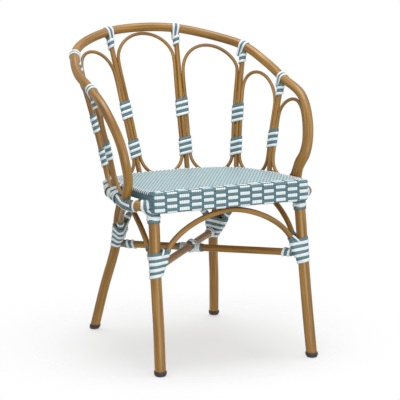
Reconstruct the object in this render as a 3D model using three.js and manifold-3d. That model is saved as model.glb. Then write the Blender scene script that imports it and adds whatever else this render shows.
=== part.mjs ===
import * as THREE from 'three';
import { mergeVertices } from 'three/addons/utils/BufferGeometryUtils.js';
import { ConvexGeometry } from 'three/addons/geometries/ConvexGeometry.js';
import Module from 'manifold-3d';

const wasm = await Module();
wasm.setup();

// Fits, in millimetres
const clearance = 0.3;
const buttGap = 0.5;

// Seat: a flat board inside a woven cover, lower at the back, with a deep front band
const seatHeight = 455;
const seatFront = 262;
const seatHalfWidth = 215;
const seatDepth = 400;
const seatDrop = 23;
const seatCornerRadius = 12;
const boardThickness = 19.7;
const weaveThickness = 4;
const frontBandHeight = 53;
const frontBandDepth = 30;
const seatSideShares = [[1, 0.35], [0.95, 0.65], [0.84, 0.83], [0.66, 0.93], [0.4, 0.985], [0, 1]];

// Seat ring: one bent rod under the seat, its ends meeting at the middle of the front
const ringDiameter = 25;
const ringSideReach = 28;
const ringBackReach = 11;
const ringFrontInset = 34;
const ringShares = [
  [0, 1], [0.276, 0.979], [0.533, 0.925], [0.747, 0.831], [0.82, 0.679], [0.882, 0.504],
  [0.943, 0.339], [1, 0.167], [0.97, 0.0575], [0.836, 0.011], [0.453, 0], [0, 0],
];

// Hoop: one bent rod that is both the top rail and the arms
const hoopDiameter = 25;
const hoopHalfWidth = 276;
const hoopBack = 300;
const hoopHeight = 792;
const hoopShares = [
  [0, 1, 1], [0.355, 0.967, 0.984], [0.685, 0.813, 0.93], [0.884, 0.56, 0.872], [0.975, 0.283, 0.777],
  [0.98, -0.023, 0.698], [1, -0.353, 0.602], [0.955, -0.555, 0.415], [0.91, -0.59, 0.247],
  [0.865, -0.535, 0.133],
];

// Steps along the points of the ring and the hoop, counted from the middle of the back
const backSteps = 1;
const outerSteps = 3;
const sideSteps = 5;
const armCornerSteps = 7;
const armFootSteps = 6.65;
const frontLegSteps = 9;
const backLegSteps = 2.5;
const backLoopSteps = 2;
const outerLoopSteps = 4;
const armLoopSteps = 6;

// Uprights and the oval cane loops between them
const uprightDiameter = 13.6;
const outerUprightSag = 5;
const loopDiameter = 9;
const loopRingGap = 2.5;
const backLoopTopGap = 10;
const outerLoopTopGap = 13;
const bandedHeightShares = { back: [0.478, 0.226], outer: [0.498, 0.2515], side: [0.44] };
const centreLoopShares = { lower: [0.18, 0.18], upper: [0.8, 0.8] };
const backLoopShares = { lower: [0.18, 0.19], upper: [0.714, 0.805] };
const outerLoopShares = { lower: [0.19, 0.25], upper: [0.681, 0.722] };
const armLoopShares = { lower: [0.25, 0.28], upper: [0.669, 0.72] };
const armLoopGap = 2.6;

// Legs, each with a plastic foot cap
const frontLegDiameter = 28;
const frontFootHalfSpan = 212;
const frontFootReach = 291;
const frontLegShares = [[0, 0.16, 0.91], [0.33, 0.42, 0.585], [0.55, 0.72, 0.287], [1, 1, 0]];
const backLegDiameter = 25;
const backFootHalfSpan = 178;
const backFootReach = 213;
const backLegRingGap = 9;
const backLegShares = [[0.26, 0.268, 0.796], [0.26, 0.455, 0.58], [0.66, 0.735, 0.29], [1, 1, 0]];
const capWall = 1.8;
const capFloor = 3;
const capHeight = 13;

// Crossed stretchers and the brace arches under the seat
const stretcherDiameter = 18.5;
const stretcherNotch = 6.6;
const upperStretcherFrontDrop = 21;
const upperStretcherBackDrop = 28;
const lowerStretcherRise = 20;
const archDiameter = 14;
const archFootHeight = 283;
const frontArchShoulderShare = 0.85;
const sideArchShoulderShare = 0.725;
const sideArchSeatGap = 26;
const frontArchFootGap = 5;
const sideArchFootGap = 16;
const sideArchBow = 18;

// Wound bindings of flat strip
const stripThickness = 1.2;
const stripGap = 0.5;
const bandStripWidth = 7;
const bandTurns = 5;
const collarStripWidth = 6.8;
const collarStripThickness = 5;
const collarTurns = 3;
const collarDrop = 6;
const stretcherWrapTurns = 3;
const stretcherWrapStart = 34;
const ringWrapStripWidth = 17;
const ringWrapGap = 2.6;
const ringWrapSlack = 0.4;
const ringWrapTurns = 3;
const ringWrapStart = 13;
const stepsPerTurn = 8;

// Bound knots where several rods meet
const knotThickness = 2;
const jointDrop = 38;
const jointRise = 25;
const crossingHalfLength = 16;
const cornerKnotDrop = 38;
const cornerKnotReach = 30;

// Counts of facets
const thickSides = 10;
const thinSides = 8;
const loopSides = 6;
const railSteps = 48;
const loopSteps = 32;
const archSteps = 20;
const legSteps = 9;
const uprightSteps = 5;

const ringHalfWidth = seatHalfWidth + ringSideReach;
const ringBack = seatDepth - seatFront + ringBackReach;
const ringFront = seatFront - ringFrontInset;
const ringRadius = ringDiameter / 2;
const hoopRadius = hoopDiameter / 2;
const uprightRadius = uprightDiameter / 2;
const loopRadius = loopDiameter / 2;
const frontLegRadius = frontLegDiameter / 2;
const backLegRadius = backLegDiameter / 2;
const stretcherRadius = stretcherDiameter / 2;
const archRadius = archDiameter / 2;
const uprightInset = uprightRadius + loopRadius + clearance;
const armInset = hoopRadius + loopRadius + armLoopGap;
const seatStack = weaveThickness + clearance + boardThickness;
const seatTilt = Math.atan2(seatDrop, seatDepth);

const cane = { color: 0xb08450, roughness: 0.5, metalness: 0 };
const tealStrip = { color: 0x5d7d86, roughness: 0.55, metalness: 0 };
const whiteStrip = { color: 0xf0f3f2, roughness: 0.5, metalness: 0 };
const weave = { color: 0xa9bcc2, roughness: 0.6, metalness: 0 };
const boardWood = { color: 0x9c7a4c, roughness: 0.7, metalness: 0 };
const blackPlastic = { color: 0x33302e, roughness: 0.5, metalness: 0 };

const chair = new THREE.Group();
const frame = new THREE.Group();
chair.add(frame);

function addPiece(parent, name, geometry, look) {
  const piece = new THREE.Mesh(geometry, new THREE.MeshStandardMaterial(look));
  piece.name = name;
  parent.add(piece);
  return piece;
}

// Solids: closed meshes that can be cut and joined
function toSolid(geometry) {
  const bare = geometry.clone();
  bare.deleteAttribute('normal');
  bare.deleteAttribute('uv');
  const merged = mergeVertices(bare);
  const vertProperties = Float32Array.from(merged.attributes.position.array);
  const triVerts = Uint32Array.from(merged.index.array);
  return new wasm.Manifold(new wasm.Mesh({ numProp: 3, vertProperties, triVerts }));
}

function toGeometry(solid) {
  const mesh = solid.getMesh();
  const geometry = new THREE.BufferGeometry();
  geometry.setAttribute('position', new THREE.BufferAttribute(Float32Array.from(mesh.vertProperties), 3));
  geometry.setIndex(new THREE.BufferAttribute(Uint32Array.from(mesh.triVerts), 1));
  geometry.computeVertexNormals();
  return geometry;
}

function cutAway(geometry, cutters) {
  let solid = toSolid(geometry);
  for (const cutter of cutters) {
    solid = solid.subtract(toSolid(cutter));
  }
  return toGeometry(solid);
}

// Rods: a round section drawn along a curve
function rod(path, radius, sides, steps) {
  const section = new THREE.Shape();
  for (let corner = 0; corner < sides; corner += 1) {
    const angle = (2 * Math.PI * (corner + 0.5)) / sides;
    const x = radius * Math.cos(angle);
    const y = radius * Math.sin(angle);
    if (corner === 0) {
      section.moveTo(x, y);
    } else {
      section.lineTo(x, y);
    }
  }
  section.closePath();
  return new THREE.ExtrudeGeometry(section, { steps, bevelEnabled: false, extrudePath: path });
}

function smoothCurve(points) {
  return new THREE.CatmullRomCurve3(points, false, 'centripetal');
}

function mirrored(point, side) {
  return new THREE.Vector3(side * point.x, point.y, point.z);
}

// A rod that is the same on both sides: points go from the middle of the back to the right end
function symmetricRail(rightPoints) {
  const last = rightPoints.length - 1;
  const left = rightPoints.slice(1).reverse().map((point) => mirrored(point, -1));
  const curve = smoothCurve([...left, ...rightPoints]);
  return { curve, at: (steps, side) => curve.getPoint((last + side * steps) / (2 * last)) };
}

function pointAtHeight(curve, height) {
  const samples = 400;
  for (let index = 0; index < samples; index += 1) {
    const here = curve.getPoint(index / samples);
    const next = curve.getPoint((index + 1) / samples);
    if ((here.z - height) * (next.z - height) <= 0 && here.z !== next.z) {
      return here.lerp(next, (height - here.z) / (next.z - here.z));
    }
  }
  return curve.getPoint(1);
}

// Height, at a given depth, of a plane that lies a given distance below the seat's top
function seatPlaneHeight(depth, below) {
  const along = (depth + seatFront - below * Math.sin(seatTilt)) / Math.cos(seatTilt);
  return seatHeight - along * Math.sin(seatTilt) - below * Math.cos(seatTilt);
}

// The ring slopes with the seat and carries the edge of the board
const ringHeight = ringHeightAt(-ringFront);

function ringHeightAt(depth) {
  return seatPlaneHeight(depth, seatStack) - (ringRadius + clearance) / Math.cos(seatTilt);
}

function ringPoint([widthShare, depthShare]) {
  const depth = depthShare * ringBack - (1 - depthShare) * ringFront;
  return new THREE.Vector3(widthShare * ringHalfWidth, depth, ringHeightAt(depth));
}

function makeRingRail() {
  const points = ringShares.map(ringPoint);
  points[points.length - 1].x = buttGap / 2;
  return symmetricRail(points);
}

const ringRail = makeRingRail();

function makeHoopRail() {
  const rise = hoopHeight - ringHeight;
  const points = hoopShares.map(([widthShare, depthShare, riseShare]) => new THREE.Vector3(
    widthShare * hoopHalfWidth,
    depthShare * hoopBack,
    ringHeight + riseShare * rise,
  ));
  points.push(ringRail.at(armFootSteps, 1));
  return symmetricRail(points);
}

const hoopRail = makeHoopRail();
const hoopEndSteps = hoopShares.length;

const ringCutter = rod(ringRail.curve, ringRadius + clearance, thickSides, railSteps);
const hoopCutter = rod(hoopRail.curve, hoopRadius + clearance, thickSides, railSteps);

addPiece(frame, 'seat_ring', rod(ringRail.curve, ringRadius, thickSides, railSteps), cane);
const hoopRod = rod(hoopRail.curve, hoopRadius, thickSides, railSteps);
addPiece(frame, 'hoop_rail', cutAway(hoopRod, [ringCutter]), cane);

// Uprights stand on the ring and end under the hoop
function makeUprightCurve(steps, sag, side) {
  const foot = ringRail.at(steps, side);
  const top = hoopRail.at(steps, side);
  const bend = foot.clone().lerp(top, 0.5);
  bend.x -= 2 * sag * side;
  return new THREE.QuadraticBezierCurve3(foot, bend, top);
}

const uprightKinds = [
  { kind: 'back', steps: backSteps, sag: 0 },
  { kind: 'outer', steps: outerSteps, sag: outerUprightSag },
  { kind: 'side', steps: sideSteps, sag: outerUprightSag },
];
const sides = [{ side: -1, sideName: 'left' }, { side: 1, sideName: 'right' }];

const uprights = {};
for (const { kind, steps, sag } of uprightKinds) {
  for (const { side, sideName } of sides) {
    const curve = makeUprightCurve(steps, sag, side);
    uprights[`${kind}_${sideName}`] = curve;
    const bar = rod(curve, uprightRadius, thinSides, sag ? uprightSteps : 1);
    addPiece(frame, `upright_${kind}_${sideName}`, cutAway(bar, [ringCutter, hoopCutter]), cane);
  }
}

// A bay is the patch between two neighbouring bars, bowed to follow the hoop and the ring
function makeBay(start, end, hoopMiddle, ringMiddle, endInset) {
  const bow = (middle, share) => middle.clone().sub(start.getPoint(share).lerp(end.getPoint(share), 0.5));
  return {
    start,
    end,
    startInset: uprightInset,
    endInset,
    topBow: bow(hoopMiddle, 1),
    bottomBow: bow(ringMiddle, 0),
    height: hoopMiddle.distanceTo(ringMiddle),
  };
}

// across goes from -1 at the first bar to 1 at the second, up from 0 at the ring to 1 at the hoop
function bayPoint(bay, across, up) {
  const start = bay.start.getPoint(up);
  const end = bay.end.getPoint(up);
  const span = end.clone().sub(start);
  const startShare = bay.startInset / span.clone().cross(bay.start.getTangent(up)).length();
  const endShare = bay.endInset / span.clone().cross(bay.end.getTangent(up)).length();
  const middle = (1 + startShare - endShare) / 2;
  const reach = (1 - startShare - endShare) / 2;
  const bow = bay.topBow.clone().multiplyScalar(up).addScaledVector(bay.bottomBow, 1 - up);
  return start.lerp(end, middle + reach * across).addScaledVector(bow, 1 - across * across);
}

const arcSteps = 6;
const straightSteps = 3;

// One oval: up the second bar, over the top, down the first bar and back along the ring
function makeLoopCurve(bay, shares, slant, topGap) {
  const top = 1 - (hoopRadius + loopRadius + topGap) / (bay.height * slant);
  const bottom = (ringRadius + loopRadius + loopRingGap) / bay.height;
  const between = (pair, across) => pair[0] + ((pair[1] - pair[0]) * (1 + across)) / 2;
  const ends = buttGap / bay.start.getPoint(0).distanceTo(bay.end.getPoint(0));
  const points = [];
  const addArc = (from, to, pair, limit) => {
    for (let step = 0; step <= arcSteps; step += 1) {
      const angle = from + ((to - from) * step) / arcSteps;
      const across = Math.cos(angle);
      const side = between(pair, across);
      points.push(bayPoint(bay, across, side + (limit - side) * Math.abs(Math.sin(angle))));
    }
  };
  const addStraight = (across, from, to) => {
    for (let step = 1; step < straightSteps; step += 1) {
      points.push(bayPoint(bay, across, from + ((to - from) * step) / straightSteps));
    }
  };
  addArc(-Math.PI / 2 + ends, 0, shares.lower, bottom);
  addStraight(1, shares.lower[1], shares.upper[1]);
  addArc(0, Math.PI / 2, shares.upper, top);
  points.pop();
  addArc(Math.PI / 2, Math.PI, shares.upper, top);
  addStraight(-1, shares.upper[0], shares.lower[0]);
  addArc(Math.PI, (3 * Math.PI) / 2 - ends, shares.lower, bottom);
  return smoothCurve(points);
}

// How squarely a bay meets the hoop
function slantAt(steps, side) {
  const partStep = 0.25;
  const here = hoopRail.at(steps, side);
  const along = hoopRail.at(steps + partStep, side).sub(here).normalize();
  const down = ringRail.at(steps, side).sub(here).normalize();
  return along.cross(down).length();
}

const bays = {};

function addLoop(name, bay, shares, slant, topGap) {
  bays[name] = bay;
  const curve = makeLoopCurve(bay, shares, slant, topGap);
  addPiece(frame, `loop_${name}`, rod(curve, loopRadius, loopSides, loopSteps), cane);
}

const backMiddles = [hoopRail.at(0, 1), ringRail.at(0, 1)];
const centreBay = makeBay(uprights.back_left, uprights.back_right, ...backMiddles, uprightInset);
addLoop('centre', centreBay, centreLoopShares, slantAt(0, 1), clearance);

// The part of the hoop that goes down to the ring, from its foot upwards
function makeArmCurve(side) {
  const upShares = [0, 0.2, 0.4, 0.6, 0.8, 1];
  const stepsAt = (up) => hoopEndSteps + (armCornerSteps - hoopEndSteps) * up;
  return smoothCurve(upShares.map((up) => hoopRail.at(stepsAt(up), side)));
}

for (const { side, sideName } of sides) {
  const [back, outer, front] = ['back', 'outer', 'side'].map((kind) => uprights[`${kind}_${sideName}`]);
  const arm = makeArmCurve(side);
  const loops = [
    { name: 'back', ends: [back, outer], steps: backLoopSteps, shares: backLoopShares, gap: backLoopTopGap },
    {
      name: 'outer', ends: [outer, front], steps: outerLoopSteps,
      shares: outerLoopShares, gap: outerLoopTopGap,
    },
    { name: 'arm', ends: [front, arm], steps: armLoopSteps, shares: armLoopShares, gap: clearance },
  ];
  for (const { name, ends, steps, shares, gap } of loops) {
    const endInset = name === 'arm' ? armInset : uprightInset;
    const bay = makeBay(...ends, hoopRail.at(steps, side), ringRail.at(steps, side), endInset);
    addLoop(`${name}_${sideName}`, bay, shares, slantAt(steps, side), gap);
  }
}

// Legs bend out to the floor and stand in caps
function makeLegCurve(top, shares, footHalfSpan, footReach, side) {
  const points = shares.map(([spanShare, reachShare, heightShare]) => new THREE.Vector3(
    side * (top.x + (footHalfSpan - top.x) * spanShare),
    top.y + (footReach - top.y) * reachShare,
    heightShare * ringHeight,
  ));
  return smoothCurve([mirrored(top, side), ...points]);
}

function levelBlock(height) {
  const size = 2 * hoopHeight;
  const block = new THREE.BoxGeometry(size, size, size);
  block.translate(0, 0, height - size / 2);
  return block;
}

function makeFootCap(curve, radius) {
  const foot = curve.getPoint(1);
  const down = curve.getTangent(1);
  const length = capHeight / Math.abs(down.z);
  const above = foot.clone().addScaledVector(down, -length);
  const below = foot.clone().addScaledVector(down, length);
  const shell = rod(new THREE.LineCurve3(above, below), radius + clearance + capWall, thickSides, 1);
  const higher = foot.clone().addScaledVector(down, -2 * length);
  const bore = rod(new THREE.LineCurve3(higher, below), radius + clearance, thickSides, 1);
  const socket = cutAway(bore, [levelBlock(capFloor)]);
  return cutAway(shell, [levelBlock(0), socket]);
}

const frontLegTop = ringRail.at(frontLegSteps, 1);
frontLegTop.z = ringHeight - ringRadius / 2;
const backLegTop = ringRail.at(backLegSteps, 1);
const inward = new THREE.Vector3(-backLegTop.x, -backLegTop.y, 0).normalize();
backLegTop.addScaledVector(inward, ringRadius + backLegRadius + backLegRingGap);
backLegTop.z = seatPlaneHeight(backLegTop.y, seatStack / 2);

const legs = {};
const frontLeg = {
  kind: 'front',
  top: frontLegTop,
  shares: frontLegShares,
  span: frontFootHalfSpan,
  reach: -frontFootReach,
  radius: frontLegRadius,
};
const backLeg = {
  kind: 'back',
  top: backLegTop,
  shares: backLegShares,
  span: backFootHalfSpan,
  reach: backFootReach,
  radius: backLegRadius,
};

function seatShape(inset) {
  const outline = new THREE.Shape();
  const half = seatHalfWidth - inset;
  const corner = seatCornerRadius - inset;
  const depth = seatDepth - 2 * inset;
  const sidePoints = seatSideShares.map(([x, y]) => new THREE.Vector2(x * half, inset + y * depth));
  const backPoints = sidePoints.slice(0, -1).reverse().map((point) => new THREE.Vector2(-point.x, point.y));
  outline.moveTo(-half + corner, inset);
  outline.lineTo(half - corner, inset);
  outline.absarc(half - corner, inset + corner, corner, -Math.PI / 2, 0, false);
  outline.splineThru([...sidePoints, ...backPoints, new THREE.Vector2(-half, inset + corner)]);
  outline.absarc(-half + corner, inset + corner, corner, Math.PI, (3 * Math.PI) / 2, false);
  return outline;
}

function seatSlab(inset, top, bottom) {
  const depth = top - bottom;
  const slab = new THREE.ExtrudeGeometry(seatShape(inset), { depth, bevelEnabled: false, curveSegments: 3 });
  slab.translate(0, 0, bottom);
  return slab;
}

// The seat is built level and tilted about its front edge
const seat = new THREE.Group();
seat.position.set(0, -seatFront, seatHeight);
seat.rotation.x = -seatTilt;
seat.updateMatrix();
frame.add(seat);
const intoSeat = seat.matrix.clone().invert();

const board = seatSlab(weaveThickness + clearance, -weaveThickness - clearance, -seatStack);
addPiece(seat, 'seat_board', board, boardWood);

function makeWovenCover() {
  const cover = toSolid(seatSlab(0, 0, -seatStack));
  const band = new THREE.BoxGeometry(2 * seatHalfWidth, frontBandDepth, frontBandHeight);
  band.translate(0, frontBandDepth / 2, -frontBandHeight / 2);
  const rounded = toSolid(band).intersect(toSolid(seatSlab(0, 0, -frontBandHeight)));
  const hollow = seatSlab(weaveThickness, -weaveThickness, -seatStack - clearance);
  const groove = ringCutter.clone().applyMatrix4(intoSeat);
  return toGeometry(cover.add(rounded).subtract(toSolid(hollow)).subtract(toSolid(groove)));
}

addPiece(seat, 'seat_weave', makeWovenCover(), weave);

function makeBandSpace() {
  const width = 2 * (seatHalfWidth + clearance);
  const depth = frontBandDepth + 2 * clearance;
  const height = frontBandHeight + clearance;
  const space = new THREE.BoxGeometry(width, depth, height);
  space.translate(0, depth / 2 - clearance, -height / 2);
  return space.applyMatrix4(seat.matrix);
}

const boardSpace = seatSlab(-clearance, 0, -seatStack - clearance).applyMatrix4(seat.matrix);
const seatCutters = [boardSpace, makeBandSpace()];

for (const { kind, top, shares, span, reach, radius } of [frontLeg, backLeg]) {
  for (const { side, sideName } of sides) {
    const curve = makeLegCurve(top, shares, span, reach, side);
    const cutter = rod(curve, radius + clearance, thickSides, legSteps);
    legs[`${kind}_${sideName}`] = { curve, radius, cutter };
    const leg = rod(curve, radius, thickSides, legSteps);
    const cutters = [levelBlock(capFloor + clearance), ringCutter, ...seatCutters];
    addPiece(frame, `leg_${kind}_${sideName}`, cutAway(leg, cutters), cane);
    addPiece(frame, `foot_cap_${kind}_${sideName}`, makeFootCap(curve, radius), blackPlastic);
  }
}

// Stretchers cross under the seat, each notched where the other passes
function legAxis(name, height) {
  return pointAtHeight(legs[name].curve, height);
}

function makeStretcher(fromLeg, fromHeight, toLeg, toHeight) {
  const from = legAxis(fromLeg, fromHeight);
  const to = legAxis(toLeg, toHeight);
  const middle = from.clone().lerp(to, Math.abs(from.x) / (Math.abs(from.x) + Math.abs(to.x)));
  return { from, to, middle, legNames: [fromLeg, toLeg], path: new THREE.LineCurve3(from, to) };
}

const upperStretcher = makeStretcher(
  'front_left',
  archFootHeight - upperStretcherFrontDrop,
  'back_right',
  archFootHeight - upperStretcherBackDrop,
);
const crossingHeight = upperStretcher.middle.z - stretcherDiameter + 2 * stretcherNotch;
const backShare = Math.abs(upperStretcher.to.x) / Math.abs(upperStretcher.to.x - upperStretcher.from.x);
const lowerStretcher = makeStretcher(
  'back_left',
  crossingHeight - lowerStretcherRise * backShare,
  'front_right',
  crossingHeight + lowerStretcherRise * (1 - backShare),
);
const stretchers = { upper: upperStretcher, lower: lowerStretcher };
for (const stretcher of Object.values(stretchers)) {
  stretcher.cutter = rod(stretcher.path, stretcherRadius + clearance, thickSides, 1);
}

const lapHeight = (upperStretcher.middle.z + lowerStretcher.middle.z) / 2;
const belowLap = toSolid(levelBlock(lapHeight + clearance / 2));
upperStretcher.notch = toGeometry(toSolid(lowerStretcher.cutter).intersect(belowLap));
lowerStretcher.notch = cutAway(upperStretcher.cutter, [levelBlock(lapHeight - clearance / 2)]);

for (const [name, stretcher] of Object.entries(stretchers)) {
  const cutters = stretcher.legNames.map((legName) => legs[legName].cutter);
  const bar = rod(stretcher.path, stretcherRadius, thickSides, 1);
  addPiece(frame, `stretcher_${name}`, cutAway(bar, [...cutters, stretcher.notch]), cane);
}

// Brace arches spring from the sides of two legs
function makeArchCurve(first, second, rise, shoulderShare, lean) {
  const points = [];
  const count = 16;
  for (let step = 0; step <= count; step += 1) {
    const angle = (Math.PI * step) / count;
    const across = Math.sign(Math.cos(angle)) * Math.abs(Math.cos(angle)) ** (1 / shoulderShare);
    const up = Math.sin(angle) ** (1 / shoulderShare);
    const point = first.clone().lerp(second, (1 - across) / 2);
    point.z += rise * up;
    points.push(point.addScaledVector(lean, up));
  }
  return smoothCurve(points);
}

function archFoot(legName, towards, gap) {
  const { radius } = legs[legName];
  const axis = legAxis(legName, archFootHeight);
  const direction = towards.clone().sub(axis);
  direction.z = 0;
  return axis.addScaledVector(direction.normalize(), radius + archRadius + gap);
}

function archBetween(firstLeg, secondLeg, gap, rise, shoulderShare, lean) {
  const first = archFoot(firstLeg, legAxis(secondLeg, archFootHeight), gap);
  const second = archFoot(secondLeg, legAxis(firstLeg, archFootHeight), gap);
  return makeArchCurve(first, second, rise, shoulderShare, lean);
}

const frontArchDepth = legAxis('front_right', archFootHeight).y + archRadius;
const frontArchTop = seatPlaneHeight(frontArchDepth, frontBandHeight) - archRadius - clearance;
const backArchTop = ringHeightAt(ringBack) - ringRadius - clearance - archRadius;
const backLean = ringRail.at(0, 1).y - legAxis('back_right', archFootHeight).y;
const sideArchEnds = ['front_right', 'back_right'].map((name) => legAxis(name, archFootHeight).y);
const sideArchDepth = (sideArchEnds[0] + sideArchEnds[1]) / 2;
const sideArchTop = seatPlaneHeight(sideArchDepth, seatStack) - sideArchSeatGap - archRadius;
const frontRise = frontArchTop - archFootHeight;
const sideRise = sideArchTop - archFootHeight;
const backRise = backArchTop - archFootHeight;
const noLean = new THREE.Vector3();
const backwards = new THREE.Vector3(0, backLean, 0);
const outwards = new THREE.Vector3(sideArchBow, 0, 0);
const footGap = 2 * clearance;
const arches = {
  front: archBetween(
    'front_left', 'front_right', frontArchFootGap, frontRise, frontArchShoulderShare, noLean,
  ),
  back: archBetween('back_left', 'back_right', footGap, backRise, frontArchShoulderShare, backwards),
};
for (const { side, sideName } of sides) {
  const legNames = [`front_${sideName}`, `back_${sideName}`];
  const lean = mirrored(outwards, side);
  arches[sideName] = archBetween(...legNames, sideArchFootGap, sideRise, sideArchShoulderShare, lean);
}
for (const [name, curve] of Object.entries(arches)) {
  addPiece(frame, `brace_arch_${name}`, rod(curve, archRadius, thinSides, archSteps), cane);
}

// Windings: one flat strip wound round one or more rods, as an unbroken body
function stripBody(sections) {
  const corners = sections[0].length;
  const positions = sections.flat().flatMap((corner) => corner.toArray());
  const index = [];
  for (let row = 0; row < sections.length - 1; row += 1) {
    for (let corner = 0; corner < corners; corner += 1) {
      const a = row * corners + corner;
      const b = row * corners + ((corner + 1) % corners);
      index.push(a, b, b + corners, a, b + corners, a + corners);
    }
  }
  const last = (sections.length - 1) * corners;
  index.push(0, 2, 1, 0, 3, 2, last, last + 1, last + 2, last, last + 2, last + 3);
  const geometry = new THREE.BufferGeometry();
  geometry.setAttribute('position', new THREE.BufferAttribute(new Float32Array(positions), 3));
  geometry.setIndex(index);
  geometry.computeVertexNormals();
  return geometry;
}

let leastTurnGap = Infinity;

// The gap along the winding's axis between an edge and the next turn's near edge
function measureTurnGap(sections, axes) {
  for (let row = 0; row + stepsPerTurn < sections.length; row += 1) {
    const [outerTop, , , innerTop] = sections[row];
    const [, outerBottom, innerBottom] = sections[row + stepsPerTurn];
    const outerGap = outerBottom.clone().sub(outerTop).dot(axes[row]);
    const innerGap = innerBottom.clone().sub(innerTop).dot(axes[row]);
    leastTurnGap = Math.min(leastTurnGap, outerGap, innerGap);
  }
}

// Corner of the tight polygon round the rods, between two neighbouring directions
function tightCorner(rods, origin, normals, distance) {
  const reach = (normal) => Math.max(...rods.map(({ centre, radius }) => (
    centre.clone().sub(origin).dot(normal) + radius + distance
  )));
  const [first, second] = normals.map(reach);
  const cosine = normals[0].dot(normals[1]);
  const share = 1 - cosine ** 2;
  return origin.clone()
    .addScaledVector(normals[0], (first - second * cosine) / share)
    .addScaledVector(normals[1], (second - first * cosine) / share);
}

// places(step) gives the rods' centres, their radii and the winding's axis at one step
function wind(places, turns, width, thickness) {
  const sections = [];
  const axes = [];
  for (let step = 0; step <= turns * stepsPerTurn; step += 1) {
    const { axis, out, rods } = places(step);
    const sideways = axis.clone().cross(out);
    const normals = [step, step + 1].map((count) => {
      const angle = (2 * Math.PI * count) / stepsPerTurn;
      return out.clone().multiplyScalar(Math.cos(angle)).addScaledVector(sideways, Math.sin(angle));
    });
    const inner = tightCorner(rods, rods[0].centre, normals, clearance);
    const outer = tightCorner(rods, rods[0].centre, normals, clearance + thickness);
    const along = axis.clone().multiplyScalar(width / 2);
    sections.push([
      outer.clone().add(along), outer.clone().sub(along), inner.clone().sub(along), inner.clone().add(along),
    ]);
    axes.push(axis);
  }
  measureTurnGap(sections, axes);
  return stripBody(sections);
}

function outwardOf(point, axis) {
  const out = new THREE.Vector3(point.x, point.y, 0);
  return out.addScaledVector(axis, -out.dot(axis)).normalize();
}

// Bands hold an upright and the two canes beside it
function windBand(upright, before, after, middleShare) {
  const length = upright.getLength();
  const pitch = bandStripWidth + stripGap;
  return wind((step) => {
    const along = pitch * (step / stepsPerTurn - bandTurns / 2);
    const share = middleShare + along / length;
    const centre = upright.getPoint(share);
    const axis = upright.getTangent(share);
    const rods = [
      { centre, radius: uprightRadius },
      { centre: bayPoint(before, 1, share), radius: loopRadius },
      { centre: bayPoint(after, -1, share), radius: loopRadius },
    ];
    for (const item of rods) {
      item.centre = item.centre.clone().addScaledVector(axis, centre.clone().sub(item.centre).dot(axis));
    }
    return { axis, out: outwardOf(centre, axis), rods };
  }, bandTurns, bandStripWidth, stripThickness);
}

// A thick collar holds the top of an upright under the hoop
function windCollar(upright) {
  const length = upright.getLength();
  const pitch = collarStripWidth + stripGap;
  const top = hoopRadius + collarDrop + collarStripWidth / 2;
  return wind((step) => {
    const share = 1 - (top + pitch * (collarTurns - step / stepsPerTurn)) / length;
    const centre = upright.getPoint(share);
    const axis = upright.getTangent(share);
    return { axis, out: outwardOf(centre, axis), rods: [{ centre, radius: uprightRadius }] };
  }, collarTurns, collarStripWidth, collarStripThickness);
}

// A wrap round a straight or bent rod, from a point given in length along it
function windRod(pointAt, tangentAt, radius, { start, turns, width, gap }) {
  const pitch = width + gap;
  return wind((step) => {
    const along = start + width / 2 + (pitch * step) / stepsPerTurn;
    const axis = tangentAt(along);
    const out = new THREE.Vector3(0, 0, -1);
    out.addScaledVector(axis, -out.dot(axis)).normalize();
    return { axis, out, rods: [{ centre: pointAt(along), radius }] };
  }, turns, width, stripThickness);
}

for (const { side, sideName } of sides) {
  const bayOf = (name) => bays[`${name}_${sideName}`];
  const turnedBay = { ...centreBay, start: centreBay.end, end: centreBay.start };
  const towardsMiddle = side > 0 ? centreBay : turnedBay;
  const neighbours = {
    back: [towardsMiddle, bayOf('back')],
    outer: [bayOf('back'), bayOf('outer')],
    side: [bayOf('outer'), bayOf('arm')],
  };
  for (const [kind, [before, after]] of Object.entries(neighbours)) {
    const upright = uprights[`${kind}_${sideName}`];
    bandedHeightShares[kind].forEach((share, order) => {
      const height = order === 0 ? 'upper' : 'lower';
      const band = windBand(upright, before, after, share);
      addPiece(frame, `band_${kind}_${sideName}_${height}`, band, whiteStrip);
    });
    addPiece(frame, `collar_${kind}_${sideName}`, windCollar(upright), tealStrip);
  }
}

function ringLengthTo(steps, side) {
  const divisions = 2000;
  const lengths = ringRail.curve.getLengths(divisions);
  const last = ringShares.length - 1;
  return lengths[Math.round((divisions * (last + side * steps)) / (2 * last))];
}

// The ring is wrapped between the foot of the side upright and the foot of the arm
for (const { side, sideName } of sides) {
  const total = ringRail.curve.getLength();
  const fromUpright = ringLengthTo(sideSteps, side);
  const shareAt = (along) => (fromUpright + side * along) / total;
  const pointAt = (along) => ringRail.curve.getPointAt(shareAt(along));
  const tangentAt = (along) => ringRail.curve.getTangentAt(shareAt(along)).multiplyScalar(side);
  const course = { start: ringWrapStart, turns: ringWrapTurns, width: ringWrapStripWidth, gap: ringWrapGap };
  const wrap = windRod(pointAt, tangentAt, ringRadius + ringWrapSlack, course);
  addPiece(frame, `ring_wrap_${sideName}`, wrap, whiteStrip);
}

const stretcherCourse = {
  start: stretcherWrapStart,
  turns: stretcherWrapTurns,
  width: bandStripWidth,
  gap: stripGap,
};

for (const stretcher of Object.values(stretchers)) {
  const ends = [[stretcher.from, stretcher.to], [stretcher.to, stretcher.from]];
  ends.forEach(([near, far], order) => {
    const axis = far.clone().sub(near).normalize();
    const pointAt = (along) => near.clone().addScaledVector(axis, along);
    const wrap = windRod(pointAt, () => axis, stretcherRadius, stretcherCourse);
    addPiece(frame, `stretcher_wrap_${stretcher.legNames[order]}`, wrap, whiteStrip);
  });
}

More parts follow.
